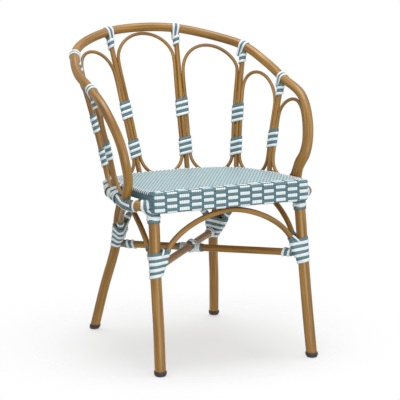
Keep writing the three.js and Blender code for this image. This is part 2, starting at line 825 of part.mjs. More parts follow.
// Knots: a tight skin round the rods that meet, with the rods' own space cut out
function circlePoints(centre, radius, axis) {
  const out = Math.abs(axis.z) > 0.5 ? new THREE.Vector3(1, 0, 0) : new THREE.Vector3(0, 0, 1);
  out.addScaledVector(axis, -out.dot(axis)).normalize();
  const sideways = axis.clone().cross(out);
  const points = [];
  for (let corner = 0; corner < thickSides; corner += 1) {
    const angle = (2 * Math.PI * corner) / thickSides;
    points.push(centre.clone()
      .addScaledVector(out, radius * Math.cos(angle))
      .addScaledVector(sideways, radius * Math.sin(angle)));
  }
  return points;
}

const upwards = new THREE.Vector3(0, 0, 1);

// The space of an arch, with clearance round it and under its two feet
function archSpace(curve) {
  const feet = [curve.getPoint(0), curve.getPoint(1)].map((foot) => {
    const below = foot.clone();
    below.z -= clearance;
    return rod(new THREE.LineCurve3(foot, below), archRadius + clearance, thinSides, 1);
  });
  return [rod(curve, archRadius + clearance, thinSides, archSteps), ...feet];
}

function reversed(curve) {
  return smoothCurve(curve.getSpacedPoints(archSteps).reverse());
}

function makeJointKnot(legName, archNames, stretcher) {
  const leg = legs[legName];
  const skin = [];
  for (const height of [archFootHeight - jointDrop, archFootHeight + jointRise]) {
    skin.push(...circlePoints(pointAtHeight(leg.curve, height), leg.radius + knotThickness, upwards));
  }
  for (const archName of archNames) {
    const axis = legAxis(legName, archFootHeight);
    const curve = arches[archName];
    const startsHere = curve.getPoint(0).distanceTo(axis) < curve.getPoint(1).distanceTo(axis);
    const near = startsHere ? curve : reversed(curve);
    const foot = near.getPoint(0);
    foot.z -= knotThickness;
    skin.push(...circlePoints(foot, archRadius + knotThickness, upwards));
    const top = pointAtHeight(near, archFootHeight + jointRise);
    skin.push(...circlePoints(top, archRadius + knotThickness, upwards));
  }
  const archSpaces = archNames.flatMap((archName) => archSpace(arches[archName]));
  const cutters = [leg.cutter, stretcher.cutter, ...archSpaces];
  return cutAway(new ConvexGeometry(skin), cutters);
}

const joints = [
  { legName: 'front_left', archNames: ['front', 'left'], stretcher: upperStretcher },
  { legName: 'front_right', archNames: ['front', 'right'], stretcher: lowerStretcher },
  { legName: 'back_left', archNames: ['back', 'left'], stretcher: lowerStretcher },
  { legName: 'back_right', archNames: ['back', 'right'], stretcher: upperStretcher },
];
for (const { legName, archNames, stretcher } of joints) {
  addPiece(frame, `joint_knot_${legName}`, makeJointKnot(legName, archNames, stretcher), tealStrip);
}

function makeCrossingKnot() {
  const skin = [];
  for (const { from, to, middle } of Object.values(stretchers)) {
    const axis = to.clone().sub(from).normalize();
    for (const end of [-1, 1]) {
      const centre = middle.clone().addScaledVector(axis, end * crossingHalfLength);
      skin.push(...circlePoints(centre, stretcherRadius + knotThickness, axis));
    }
  }
  return cutAway(new ConvexGeometry(skin), [upperStretcher.cutter, lowerStretcher.cutter]);
}

addPiece(frame, 'crossing_knot', makeCrossingKnot(), tealStrip);

// A knot binds each front leg to the corner of the ring
function makeCornerKnot(side, sideName) {
  const leg = legs[`front_${sideName}`];
  const total = ringRail.curve.getLength();
  const atLeg = ringLengthTo(frontLegSteps, side);
  const skin = [];
  for (const along of [0, cornerKnotReach]) {
    const share = (atLeg - side * along) / total;
    const centre = ringRail.curve.getPointAt(share);
    skin.push(...circlePoints(centre, ringRadius + knotThickness, ringRail.curve.getTangentAt(share)));
  }
  const low = pointAtHeight(leg.curve, ringHeight - cornerKnotDrop);
  skin.push(...circlePoints(low, leg.radius + knotThickness, upwards));
  return cutAway(new ConvexGeometry(skin), [leg.cutter, ringCutter, ...seatCutters]);
}

for (const { side, sideName } of sides) {
  addPiece(frame, `corner_knot_${sideName}`, makeCornerKnot(side, sideName), whiteStrip);
}

// The origin is the middle of the footprint, on the floor
chair.updateMatrixWorld(true);
const box = new THREE.Box3().setFromObject(chair, true);
const middle = box.getCenter(new THREE.Vector3());
frame.position.set(-middle.x, -middle.y, -box.min.z);

console.log(`Least gap between turns of a winding: ${leastTurnGap.toFixed(3)} mm`);

export default chair;
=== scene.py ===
import math

import bpy
import numpy as np
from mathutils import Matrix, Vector


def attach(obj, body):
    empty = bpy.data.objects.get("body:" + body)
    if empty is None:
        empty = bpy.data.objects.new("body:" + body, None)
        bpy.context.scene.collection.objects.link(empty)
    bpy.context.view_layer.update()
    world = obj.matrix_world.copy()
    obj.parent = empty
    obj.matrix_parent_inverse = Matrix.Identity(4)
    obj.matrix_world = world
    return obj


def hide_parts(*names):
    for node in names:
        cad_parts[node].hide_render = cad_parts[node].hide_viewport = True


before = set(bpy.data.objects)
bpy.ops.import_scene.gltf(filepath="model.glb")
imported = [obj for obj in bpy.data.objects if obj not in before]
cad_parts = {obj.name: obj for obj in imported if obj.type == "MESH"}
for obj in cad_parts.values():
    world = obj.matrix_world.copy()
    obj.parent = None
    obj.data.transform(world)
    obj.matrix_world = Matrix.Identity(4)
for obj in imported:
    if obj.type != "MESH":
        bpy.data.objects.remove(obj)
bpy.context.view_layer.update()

# Millimetres to metres, and how far the chair in model.glb is moved along y, in millimetres
MM = 0.001
Y_SHIFT = -2.485

# Sizes of the chair in millimetres, as in the part's source
CLEARANCE = 0.3
BUTT_GAP = 0.5
SEAT_HEIGHT = 455
SEAT_FRONT = 262
SEAT_HALF_WIDTH = 215
SEAT_DEPTH = 400
SEAT_DROP = 23
SEAT_CORNER = 12
SEAT_STACK = 24
BAND_HEIGHT = 53
BAND_DEPTH = 30
SEAT_SIDE_SHARES = [(1, 0.35), (0.95, 0.65), (0.84, 0.83), (0.66, 0.93), (0.4, 0.985), (0, 1)]
RING_RADIUS = 12.5
RING_HALF_WIDTH = 243
RING_BACK = 149
RING_FRONT = 228
RING_SHARES = [
    (0, 1), (0.276, 0.979), (0.533, 0.925), (0.747, 0.831), (0.82, 0.679), (0.882, 0.504),
    (0.943, 0.339), (1, 0.167), (0.97, 0.0575), (0.836, 0.011), (0.453, 0), (0, 0),
]
HOOP_RADIUS = 12.5
HOOP_CANE_RADIUS = 11.8
HOOP_HALF_WIDTH = 276
HOOP_BACK = 300
HOOP_HEIGHT = 792
HOOP_SHARES = [
    (0, 1, 1), (0.355, 0.967, 0.984), (0.685, 0.813, 0.93), (0.884, 0.56, 0.872),
    (0.975, 0.283, 0.777), (0.98, -0.023, 0.698), (1, -0.353, 0.602), (0.955, -0.555, 0.415),
    (0.91, -0.59, 0.247), (0.865, -0.535, 0.133),
]
BACK_STEPS = 1
OUTER_STEPS = 3
SIDE_STEPS = 5
ARM_CORNER_STEPS = 7
ARM_FOOT_STEPS = 6.65
FRONT_LEG_STEPS = 9
BACK_LEG_STEPS = 2.5
UPRIGHT_RADIUS = 6.8
UPRIGHT_SAG = 5
LOOP_RADIUS = 4.5
LOOP_RING_GAP = 2.5
ARM_LOOP_GAP = 2.6
LOOP_SHARES = {
    "centre": ((0.18, 0.18), (0.8, 0.8), CLEARANCE),
    "back": ((0.18, 0.19), (0.714, 0.805), 10),
    "outer": ((0.19, 0.25), (0.681, 0.722), 13),
    "arm": ((0.25, 0.28), (0.669, 0.72), CLEARANCE),
}
BANDED_SHARES = {"back": (0.478, 0.226), "outer": (0.498, 0.2515), "side": (0.44,)}
FRONT_LEG_RADIUS = 14
BACK_LEG_RADIUS = 12.5
FRONT_FOOT = (212, -291)
BACK_FOOT = (178, 213)
FRONT_LEG_SHARES = [(0, 0.16, 0.91), (0.33, 0.42, 0.585), (0.55, 0.72, 0.287), (1, 1, 0)]
BACK_LEG_SHARES = [(0.26, 0.268, 0.796), (0.26, 0.455, 0.58), (0.66, 0.735, 0.29), (1, 1, 0)]
BACK_LEG_RING_GAP = 9
CAP_HEIGHT = 13
CAP_WALL = 2.1
STRETCHER_RADIUS = 9.25
STRETCHER_DROPS = (21, 28)
STRETCHER_NOTCH = 6.6
STRETCHER_RISE = 20
ARCH_RADIUS = 7
ARCH_FOOT_HEIGHT = 283
ARCH_SHOULDER = 0.85
FRONT_ARCH_FOOT_GAP = 5
SIDE_ARCH_FOOT_GAP = 16
SIDE_ARCH_TOP_GAP = 26
SIDE_ARCH_SHOULDER = 0.725
SIDE_ARCH_LEAN = 18
SEAT_TILT = math.atan2(SEAT_DROP, SEAT_DEPTH)
SIDES = (("left", -1), ("right", 1))

# Weave: the pitch of its strands, the height of a flat strip, and the pitch and width of the white blocks
STRAND_PITCH = 4.714
ROW = 8.03
COLUMN = 33.3
BLOCK = 27.0

# Lashings: the width and thickness of each kind of strip, and the pitch of a turn of one white and one teal
STRIPS = {"white": (7.6, 2.8), "teal": (8.2, 1.3), "wide_white": (8.9, 2.8), "wide_teal": (15.2, 1.2)}
PITCH = 15.4
BOTH = [("white", 0.0), ("teal", PITCH / 2)]


# Vectors
def vec(x, y, z):
    return np.array((x, y, z), float)


def unit(v):
    return v / np.linalg.norm(v)


def mirrored(p, side):
    return vec(side * p[0], p[1], p[2])


def across(v, axis):
    """The part of v that is square to axis, as a unit vector"""
    return unit(v - axis * v.dot(axis))


def lengths_of(points):
    """The length of a row of points up to each of them"""
    steps = np.linalg.norm(np.diff(points, axis=0), axis=1)
    return np.concatenate([[0], np.cumsum(steps)])


UP = vec(0, 0, 1)


# Curves
class Curve:
    """A line in space: at(t) gives its point at a share t from 0 to 1"""

    shares = np.linspace(0, 1, 601)
    kept = None

    def tangent(self, t):
        step = 1e-4
        return unit(self.at(min(1, t + step)) - self.at(max(0, t - step)))

    def samples(self):
        """Points along the curve and the length up to each"""
        if self.kept is None:
            points = np.array([self.at(t) for t in self.shares])
            self.kept = points, lengths_of(points)
        return self.kept

    def length(self):
        return self.samples()[1][-1]

    def share_at(self, length):
        return float(np.interp(length, self.samples()[1], self.shares))

    def length_to(self, t):
        return float(np.interp(t, self.shares, self.samples()[1]))

    def at_height(self, height):
        """The first point of the curve at that height"""
        points, _ = self.samples()
        above = points[:, 2] - height
        hits = np.nonzero((above[:-1] * above[1:] <= 0) & (above[:-1] != above[1:]))[0]
        if len(hits) == 0:
            return points[-1].copy()
        first = hits[0]
        share = above[first] / (above[first] - above[first + 1])
        return points[first] + (points[first + 1] - points[first]) * share


class Smooth(Curve):
    """A centripetal Catmull-Rom curve through its points"""

    def __init__(self, points):
        self.points = [np.array(p, float) for p in points]

    def at(self, t):
        p = self.points
        last = len(p) - 1
        place = min(max(t, 0), 1) * last
        first = min(int(place), last - 1)
        w = place - first
        p1, p2 = p[first], p[first + 1]
        p0 = p[first - 1] if first > 0 else 2 * p1 - p2
        p3 = p[first + 2] if first + 2 <= last else 2 * p2 - p1
        d0 = math.sqrt(np.linalg.norm(p1 - p0))
        d1 = math.sqrt(np.linalg.norm(p2 - p1))
        d2 = math.sqrt(np.linalg.norm(p3 - p2))
        m1 = ((p1 - p0) / d0 - (p2 - p0) / (d0 + d1) + (p2 - p1) / d1) * d1
        m2 = ((p2 - p1) / d1 - (p3 - p1) / (d1 + d2) + (p3 - p2) / d2) * d1
        c2 = 3 * (p2 - p1) - 2 * m1 - m2
        c3 = 2 * (p1 - p2) + m1 + m2
        return p1 + w * (m1 + w * (c2 + w * c3))


class Bent(Curve):
    """A quadratic Bezier curve"""

    def __init__(self, start, bend, end):
        self.ends = (start, bend, end)

    def at(self, t):
        start, bend, end = self.ends
        return (1 - t) ** 2 * start + 2 * t * (1 - t) * bend + t * t * end


class Rail(Smooth):
    """A rod that is the same on both sides, from points of its right half"""

    def __init__(self, right):
        left = [mirrored(p, -1) for p in right[:0:-1]]
        super().__init__(left + list(right))
        self.last = len(right) - 1

    def place(self, steps, side):
        return (self.last + side * steps) / (2 * self.last)

    def by(self, steps, side):
        return self.at(self.place(steps, side))


def seat_plane(depth, below):
    along = (depth + SEAT_FRONT - below * math.sin(SEAT_TILT)) / math.cos(SEAT_TILT)
    return SEAT_HEIGHT - along * math.sin(SEAT_TILT) - below * math.cos(SEAT_TILT)


def ring_height(depth):
    return seat_plane(depth, SEAT_STACK) - (RING_RADIUS + CLEARANCE) / math.cos(SEAT_TILT)


RING_HEIGHT = ring_height(-RING_FRONT)


def make_ring():
    points = []
    for width, depth in RING_SHARES:
        y = depth * RING_BACK - (1 - depth) * RING_FRONT
        points.append(vec(width * RING_HALF_WIDTH, y, ring_height(y)))
    points[-1][0] = BUTT_GAP / 2
    return Rail(points)


ring = make_ring()


def make_hoop():
    rise = HOOP_HEIGHT - RING_HEIGHT
    points = [
        vec(width * HOOP_HALF_WIDTH, depth * HOOP_BACK, RING_HEIGHT + up * rise)
        for width, depth, up in HOOP_SHARES
    ]
    points.append(ring.by(ARM_FOOT_STEPS, 1))
    return Rail(points)


hoop = make_hoop()


def make_upright(steps, sag, side):
    foot = ring.by(steps, side)
    top = hoop.by(steps, side)
    bend = (foot + top) / 2
    bend[0] -= 2 * sag * side
    return Bent(foot, bend, top)


UPRIGHT_STEPS = {"back": BACK_STEPS, "outer": OUTER_STEPS, "side": SIDE_STEPS}
uprights = {
    f"{kind}_{name}": make_upright(steps, 0 if kind == "back" else UPRIGHT_SAG, side)
    for kind, steps in UPRIGHT_STEPS.items()
    for name, side in SIDES
}
INSET = UPRIGHT_RADIUS + LOOP_RADIUS + CLEARANCE
ARM_INSET = HOOP_RADIUS + LOOP_RADIUS + ARM_LOOP_GAP
BAY_STEPS = {"back": 2, "outer": 4, "arm": 6}


class Bay:
    """The bowed patch between two neighbouring bars"""

    def __init__(self, start, end, hoop_middle, ring_middle, end_inset=INSET):
        self.start = start
        self.end = end
        self.end_inset = end_inset
        self.top_bow = hoop_middle - (start.at(1) + end.at(1)) / 2
        self.bottom_bow = ring_middle - (start.at(0) + end.at(0)) / 2
        self.height = np.linalg.norm(hoop_middle - ring_middle)

    def at(self, side, up):
        start = self.start.at(up)
        end = self.end.at(up)
        span = end - start
        start_share = INSET / np.linalg.norm(np.cross(span, self.start.tangent(up)))
        end_share = self.end_inset / np.linalg.norm(np.cross(span, self.end.tangent(up)))
        middle = (1 + start_share - end_share) / 2
        reach = (1 - start_share - end_share) / 2
        bow = self.top_bow * up + self.bottom_bow * (1 - up)
        return start + span * (middle + reach * side) + bow * (1 - side * side)


def make_loop(bay, kind, slant):
    lower, upper, top_gap = LOOP_SHARES[kind]
    top = 1 - (HOOP_RADIUS + LOOP_RADIUS + top_gap) / (bay.height * slant)
    bottom = (RING_RADIUS + LOOP_RADIUS + LOOP_RING_GAP) / bay.height
    ends = BUTT_GAP / np.linalg.norm(bay.start.at(0) - bay.end.at(0))
    points = []

    def arc(begin, stop, pair, limit):
        for step in range(7):
            angle = begin + (stop - begin) * step / 6
            side = math.cos(angle)
            rest = pair[0] + (pair[1] - pair[0]) * (1 + side) / 2
            points.append(bay.at(side, rest + (limit - rest) * abs(math.sin(angle))))

    def straight(side, begin, stop):
        for step in (1, 2):
            points.append(bay.at(side, begin + (stop - begin) * step / 3))

    arc(-math.pi / 2 + ends, 0, lower, bottom)
    straight(1, lower[1], upper[1])
    arc(0, math.pi / 2, upper, top)
    points.pop()
    arc(math.pi / 2, math.pi, upper, top)
    straight(-1, upper[0], lower[0])
    arc(math.pi, 1.5 * math.pi - ends, lower, bottom)
    return Smooth(points)


def slant_at(steps, side):
    here = hoop.by(steps, side)
    along = unit(hoop.by(steps + 0.25, side) - here)
    down = unit(ring.by(steps, side) - here)
    return np.linalg.norm(np.cross(along, down))


def make_arm(side):
    low = len(HOOP_SHARES)
    return Smooth([hoop.by(low + (ARM_CORNER_STEPS - low) * up, side) for up in (0, 0.2, 0.4, 0.6, 0.8, 1)])


bays = {"centre": Bay(uprights["back_left"], uprights["back_right"], hoop.by(0, 1), ring.by(0, 1))}
loops = {"centre": make_loop(bays["centre"], "centre", slant_at(0, 1))}
for name, side in SIDES:
    bars = [uprights[f"{kind}_{name}"] for kind in UPRIGHT_STEPS] + [make_arm(side)]
    for start, end, (kind, steps) in zip(bars, bars[1:], BAY_STEPS.items()):
        inset = ARM_INSET if kind == "arm" else INSET
        bay = Bay(start, end, hoop.by(steps, side), ring.by(steps, side), inset)
        bays[f"{kind}_{name}"] = bay
        loops[f"{kind}_{name}"] = make_loop(bay, kind, slant_at(steps, side))


def make_leg(top, shares, foot, side):
    """A leg through shares of the way out, of the way to the front or back and of the ring's height"""
    points = [top]
    for span, reach, up in shares:
        y = top[1] + (foot[1] - top[1]) * reach
        points.append(vec(top[0] + (foot[0] - top[0]) * span, y, up * RING_HEIGHT))
    return Smooth([mirrored(point, side) for point in points])


front_top = ring.by(FRONT_LEG_STEPS, 1)
front_top[2] = RING_HEIGHT - RING_RADIUS / 2
back_top = ring.by(BACK_LEG_STEPS, 1)
back_top += unit(vec(-back_top[0], -back_top[1], 0)) * (RING_RADIUS + BACK_LEG_RADIUS + BACK_LEG_RING_GAP)
back_top[2] = seat_plane(back_top[1], SEAT_STACK / 2)
legs = {}
for name, side in SIDES:
    legs[f"front_{name}"] = (make_leg(front_top, FRONT_LEG_SHARES, FRONT_FOOT, side), FRONT_LEG_RADIUS)
    legs[f"back_{name}"] = (make_leg(back_top, BACK_LEG_SHARES, BACK_FOOT, side), BACK_LEG_RADIUS)


def leg_axis(name, height):
    return legs[name][0].at_height(height)


def middle_of(start, end):
    return start + (end - start) * abs(start[0]) / (abs(start[0]) + abs(end[0]))


upper_ends = (
    leg_axis("front_left", ARCH_FOOT_HEIGHT - STRETCHER_DROPS[0]),
    leg_axis("back_right", ARCH_FOOT_HEIGHT - STRETCHER_DROPS[1]),
)
upper_middle = middle_of(*upper_ends)
cross_height = upper_middle[2] - 2 * STRETCHER_RADIUS + 2 * STRETCHER_NOTCH
back_share = abs(upper_ends[1][0]) / abs(upper_ends[1][0] - upper_ends[0][0])
lower_ends = (
    leg_axis("back_left", cross_height - STRETCHER_RISE * back_share),
    leg_axis("front_right", cross_height + STRETCHER_RISE * (1 - back_share)),
)
lower_middle = middle_of(*lower_ends)
stretchers = {"upper": Smooth(upper_ends), "lower": Smooth(lower_ends)}


def arch_foot(name, towards, gap):
    axis = leg_axis(name, ARCH_FOOT_HEIGHT)
    direction = towards - axis
    direction[2] = 0
    return axis + unit(direction) * (legs[name][1] + ARCH_RADIUS + gap)


def make_arch(first, second, gap, top, shoulder, lean):
    """An arch from leg to leg. The shoulder squares it, lean moves its top sideways"""
    start = arch_foot(first, leg_axis(second, ARCH_FOOT_HEIGHT), gap)
    end = arch_foot(second, leg_axis(first, ARCH_FOOT_HEIGHT), gap)
    points = []
    for step in range(17):
        angle = math.pi * step / 16
        side = math.copysign(abs(math.cos(angle)) ** (1 / shoulder), math.cos(angle))
        up = max(0, math.sin(angle)) ** (1 / shoulder)
        point = start + (end - start) * (1 - side) / 2 + lean * up
        point[2] += (top - ARCH_FOOT_HEIGHT) * up
        points.append(point)
    return Smooth(points)


front_y = leg_axis("front_right", ARCH_FOOT_HEIGHT)[1]
back_y = leg_axis("back_right", ARCH_FOOT_HEIGHT)[1]
front_arch_top = seat_plane(front_y + ARCH_RADIUS, BAND_HEIGHT) - ARCH_RADIUS - CLEARANCE
back_arch_top = ring_height(RING_BACK) - RING_RADIUS - CLEARANCE - ARCH_RADIUS
side_arch_top = seat_plane((front_y + back_y) / 2, SEAT_STACK) - SIDE_ARCH_TOP_GAP - ARCH_RADIUS
back_lean = vec(0, ring.by(0, 1)[1] - back_y, 0)
front_ends = ("front_left", "front_right")
back_ends = ("back_left", "back_right")
arches = {
    "front": make_arch(*front_ends, FRONT_ARCH_FOOT_GAP, front_arch_top, ARCH_SHOULDER, vec(0, 0, 0)),
    "back": make_arch(*back_ends, 2 * CLEARANCE, back_arch_top, ARCH_SHOULDER, back_lean),
}
for name, side in SIDES:
    ends = (f"front_{name}", f"back_{name}")
    lean = vec(SIDE_ARCH_LEAN * side, 0, 0)
    arches[name] = make_arch(*ends, SIDE_ARCH_FOOT_GAP, side_arch_top, SIDE_ARCH_SHOULDER, lean)


# Materials
class Nodes:
    """A small helper to build the node tree of a material or the world"""

    def __init__(self, owner):
        owner.use_nodes = True
        self.owner = owner
        self.tree = owner.node_tree

    def link(self, output, target):
        self.tree.links.new(output, target)

    def feed(self, node, inputs):
        for key, value in inputs.items():
            if isinstance(value, bpy.types.NodeSocket):
                self.link(value, node.inputs[key])
            else:
                node.inputs[key].default_value = value

    def add(self, kind, inputs=None, **settings):
        node = self.tree.nodes.new(kind)
        for key, value in settings.items():
            setattr(node, key, value)
        self.feed(node, inputs or {})
        return node

    def maths(self, operation, a, b=0.0, c=0.0):
        return self.add("ShaderNodeMath", {0: a, 1: b, 2: c}, operation=operation).outputs[0]

    def times(self, a, b):
        return self.maths("MULTIPLY", a, b)

    def uv(self):
        node = self.add("ShaderNodeUVMap", uv_map="UVMap")
        split = self.add("ShaderNodeSeparateXYZ", {0: node.outputs[0]})
        return split.outputs[0], split.outputs[1]

    def point(self, x, y, z=0.0):
        return self.add("ShaderNodeCombineXYZ", {0: x, 1: y, 2: z}).outputs[0]

    def place(self):
        return self.add("ShaderNodeTexCoord").outputs["Object"]

    def own_shift(self, reach):
        """A number of its own for each piece, from 0 to reach"""
        return self.times(self.add("ShaderNodeObjectInfo").outputs["Random"], reach)

    def from_middle(self, value):
        """For a value from 0 to 1: 0 at its middle and 1 at both ends"""
        return self.maths("ABSOLUTE", self.maths("MULTIPLY_ADD", value, 2.0, -1.0))

    def noise(self, vector, scale=1.0, detail=3.0):
        inputs = {"Vector": vector, "Scale": scale, "Detail": detail}
        return self.add("ShaderNodeTexNoise", inputs).outputs["Fac"]

    def grain(self, pair, stretch, shift=0.0, detail=2.0):
        """Noise over a pair of coordinates, each stretched by its own factor"""
        x, y = (self.times(value, by) for value, by in zip(pair, stretch))
        return self.noise(self.point(x, y, shift), detail=detail)

    def ramp(self, fac, stops):
        """Colours blended through stops of (place, colour)"""
        node = self.add("ShaderNodeValToRGB", {0: fac})
        elements = node.color_ramp.elements
        while len(elements) < len(stops):
            elements.new(0.5)
        for element, (place, colour) in zip(elements, stops):
            element.position = place
            element.color = (*colour, 1)
        return node.outputs[0]

    def mix(self, fac, a, b, mode="MIX"):
        node = self.add("ShaderNodeMix", data_type="RGBA", blend_type=mode)
        for index, value in ((0, fac), (6, a), (7, b)):
            if isinstance(value, bpy.types.NodeSocket):
                self.link(value, node.inputs[index])
            else:
                node.inputs[index].default_value = value if index == 0 else (*value, 1)
        return node.outputs[2]

    def bump(self, height, strength, distance):
        inputs = {"Height": height, "Strength": strength, "Distance": distance}
        return self.add("ShaderNodeBump", inputs).outputs[0]

    def finish(self, colour, roughness, normal=None, **inputs):
        values = {"Base Color": colour, "Roughness": roughness, **inputs}
        if normal is not None:
            values["Normal"] = normal
        self.feed(self.tree.nodes["Principled BSDF"], values)
        return self.owner


def new_material(name):
    return Nodes(bpy.data.materials.new(name))


def srgb(code):
    """Linear colour from a six-figure colour code"""
    parts = [int(code[i:i + 2], 16) / 255 for i in (0, 2, 4)]
    return tuple(c / 12.92 if c <= 0.04045 else ((c + 0.055) / 1.055) ** 2.4 for c in parts)


def make_cane():
    n = new_material("cane_pole")
    pair = n.uv()
    shift = n.own_shift(40.0)
    fine = n.grain(pair, (900.0, 14.0), shift, 4.0)
    streak = n.grain(pair, (160.0, 6.0), shift)
    patch = n.grain(pair, (18.0, 9.0), shift)
    grain = n.maths("ADD", n.times(fine, 0.45), n.times(streak, 0.55))
    base = n.ramp(grain, [(0.3, srgb("68450f")), (0.48, srgb("926722")), (0.68, srgb("b38839"))])
    tone = n.ramp(patch, [(0.3, (0.8, 0.77, 0.74)), (0.7, (1.0, 1.0, 1.0))])
    colour = n.mix(0.8, base, tone, "MULTIPLY")
    rough = n.maths("MULTIPLY_ADD", fine, 0.2, 0.28)
    normal = n.bump(grain, 0.25, 0.0006)
    return n.finish(colour, rough, normal, **{"Coat Weight": 0.2, "Coat Roughness": 0.3})


def make_strip(name, low, high, edge):
    """Flat plastic strip: fine lines along it, with painted shade darkening its two edges"""
    n = new_material(name)
    u, v = n.uv()
    shift = n.own_shift(30.0)
    lines = n.grain((u, v), (22.0, 30.0), shift, 3.0)
    patch = n.grain((u, v), (1.5, 60.0), shift)
    base = n.mix(patch, srgb(low), srgb(high))
    # Painted shade: towards both edges the strip darkens into the edge colour, as where its neighbours shade
    # it
    edge_shade = n.maths("POWER", n.from_middle(u), 6.0)
    colour = n.mix(n.times(edge_shade, 0.75), base, srgb(edge))
    rough = n.maths("MULTIPLY_ADD", lines, 0.2, 0.34)
    return n.finish(colour, rough, n.bump(lines, 0.2, 0.0004))


def make_plastic():
    n = new_material("cap_plastic")
    speckle = n.noise(n.place(), 900.0)
    colour = n.mix(speckle, srgb("2a2826"), srgb("3d3937"))
    rough = n.maths("MULTIPLY_ADD", n.noise(n.place(), 120.0), 0.2, 0.38)
    return n.finish(colour, rough, n.bump(speckle, 0.3, 0.0003))


def make_board():
    n = new_material("board_wood")
    split = n.add("ShaderNodeSeparateXYZ", {0: n.place()})
    grain = n.grain(split.outputs[:2], (60.0, 8.0), detail=5.0)
    colour = n.mix(grain, srgb("8a6a3e"), srgb("b08d5a"))
    return n.finish(colour, 0.7, n.bump(grain, 0.3, 0.0005))


def make_weave():
    """Plain weave: white strands front to back, over and under flat strips, with painted shade at the
    strands' edges. UV is in metres
    """
    n = new_material("seat_weave")
    u, v = n.uv()
    column = n.maths("DIVIDE", u, STRAND_PITCH * MM)
    row = n.maths("DIVIDE", v, ROW * MM)
    turn = n.maths("FLOORED_MODULO", n.maths("ADD", n.maths("FLOOR", column), n.maths("FLOOR", row)), 2.0)
    over = n.maths("LESS_THAN", turn, 0.5)
    sides = [n.maths("POWER", n.from_middle(n.maths("FRACT", way)), 4.0) for way in (column, row)]
    crown_u, crown_v = (n.maths("SUBTRACT", 1.0, side) for side in sides)
    bead = n.times(crown_u, crown_v)
    height = n.maths("MAXIMUM", n.times(crown_v, 0.55), n.times(bead, over))
    grit = n.grain((u, v), (900.0, 900.0))
    broad = n.grain((u, v), (25.0, 25.0))
    # Painted shade: the teal and the white both darken towards each strand's edges, where the strands dip
    # under each other
    teal = n.mix(crown_v, srgb("3c585f"), n.mix(broad, srgb("76989f"), srgb("86a8b0")))
    white = n.mix(bead, srgb("8fa6aa"), n.mix(grit, srgb("bccfd4"), srgb("d5e2e5")))
    mask = n.times(over, n.maths("GREATER_THAN", bead, 0.2))
    rough = n.maths("MULTIPLY_ADD", grit, 0.2, 0.4)
    return n.finish(n.mix(mask, teal, white), rough, n.bump(height, 0.5, 0.001))


MATERIALS = {
    "cane": make_cane(),
    # The last colour of each strip is painted shade, laid on its two edges
    "teal_strip": make_strip("teal_strip", "496b74", "5a7f89", "21383e"),
    "white_strip": make_strip("white_strip", "d6dee0", "eaf0f1", "94a3a7"),
    "foot_cap": make_plastic(),
    "seat_weave": make_weave(),
}


# Meshes
def make_piece(name, vertices, faces, uvs, slot, replaced=()):
    """vertices in millimetres, uvs one pair for each vertex"""
    points = np.array(vertices, float)
    points[:, 1] += Y_SHIFT
    mesh = bpy.data.meshes.new(name)
    mesh.from_pydata((points * MM).tolist(), [], faces)
    layer = mesh.uv_layers.new(name="UVMap")
    for loop in mesh.loops:
        layer.data[loop.index].uv = uvs[loop.vertex_index]
    mesh.materials.append(MATERIALS[slot])
    mesh.polygons.foreach_set("use_smooth", [True] * len(mesh.polygons))
    mesh.update()
    piece = bpy.data.objects.new(name, mesh)
    bpy.context.scene.collection.objects.link(piece)
    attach(piece, "root")
    if replaced:
        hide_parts(*replaced)


def grid_faces(rows, size, closed=False, flipped=False, start=0):
    """Faces between rows of vertices, size in each row. The ends of closed rows meet"""
    faces = []
    for row in range(rows - 1):
        for k in range(size if closed else size - 1):
            a = start + row * size + k
            b = start + row * size + (k + 1) % size
            faces.append((a, a + size, b + size, b) if flipped else (a, b, b + size, a + size))
    return faces


def frames_along(points):
    """Tangents and parallel-carried normals of a row of points"""
    tangents = np.gradient(points, axis=0)
    tangents /= np.linalg.norm(tangents, axis=1)[:, None]
    first = UP if abs(tangents[0][2]) < 0.8 else vec(1, 0, 0)
    normals = [across(first, tangents[0])]
    for tangent in tangents[1:]:
        normals.append(across(normals[-1], tangent))
    return tangents, np.array(normals)


ROD_END_ROWS = ((0.93, 0.08), (0.7, 0.14), (0.02, 0.16))


def tube(name, curve, radius, node, spacing, sides=20):
    """A round cane rod along a curve, with rounded ends"""
    length = curve.length()
    count = max(6, int(length / spacing))
    points = np.array([curve.at(curve.share_at(length * i / count)) for i in range(count + 1)])
    tangents, normals = frames_along(points)
    rows = [(points[i], radius, length * i / count, i) for i in range(count + 1)]
    for share, out in ROD_END_ROWS:
        for end, sign in ((0, -1), (count, 1)):
            reach = sign * out * radius
            row = (points[end] + tangents[end] * reach, radius * share, length * end / count + reach, end)
            rows = [row] + rows if sign < 0 else rows + [row]
    vertices, uvs = [], []
    for point, size, along, place in rows:
        sideways = np.cross(tangents[place], normals[place])
        for k in range(sides + 1):
            angle = 2 * math.pi * k / sides
            spoke = normals[place] * math.cos(angle) + sideways * math.sin(angle)
            vertices.append(point + size * spoke)
            uvs.append((angle * radius * MM, along * MM))
    make_piece(name, vertices, grid_faces(len(rows), sides + 1), uvs, "cane", (node,))


# Windings, which start on the side away from where the chair is looked at
HIDDEN = unit(vec(0.5, 0.87, 0))
LOOP_ANGLES = np.arange(97) * 2 * math.pi / 96
LOOP_WAYS = np.stack([np.cos(LOOP_ANGLES), np.sin(LOOP_ANGLES)], axis=1)


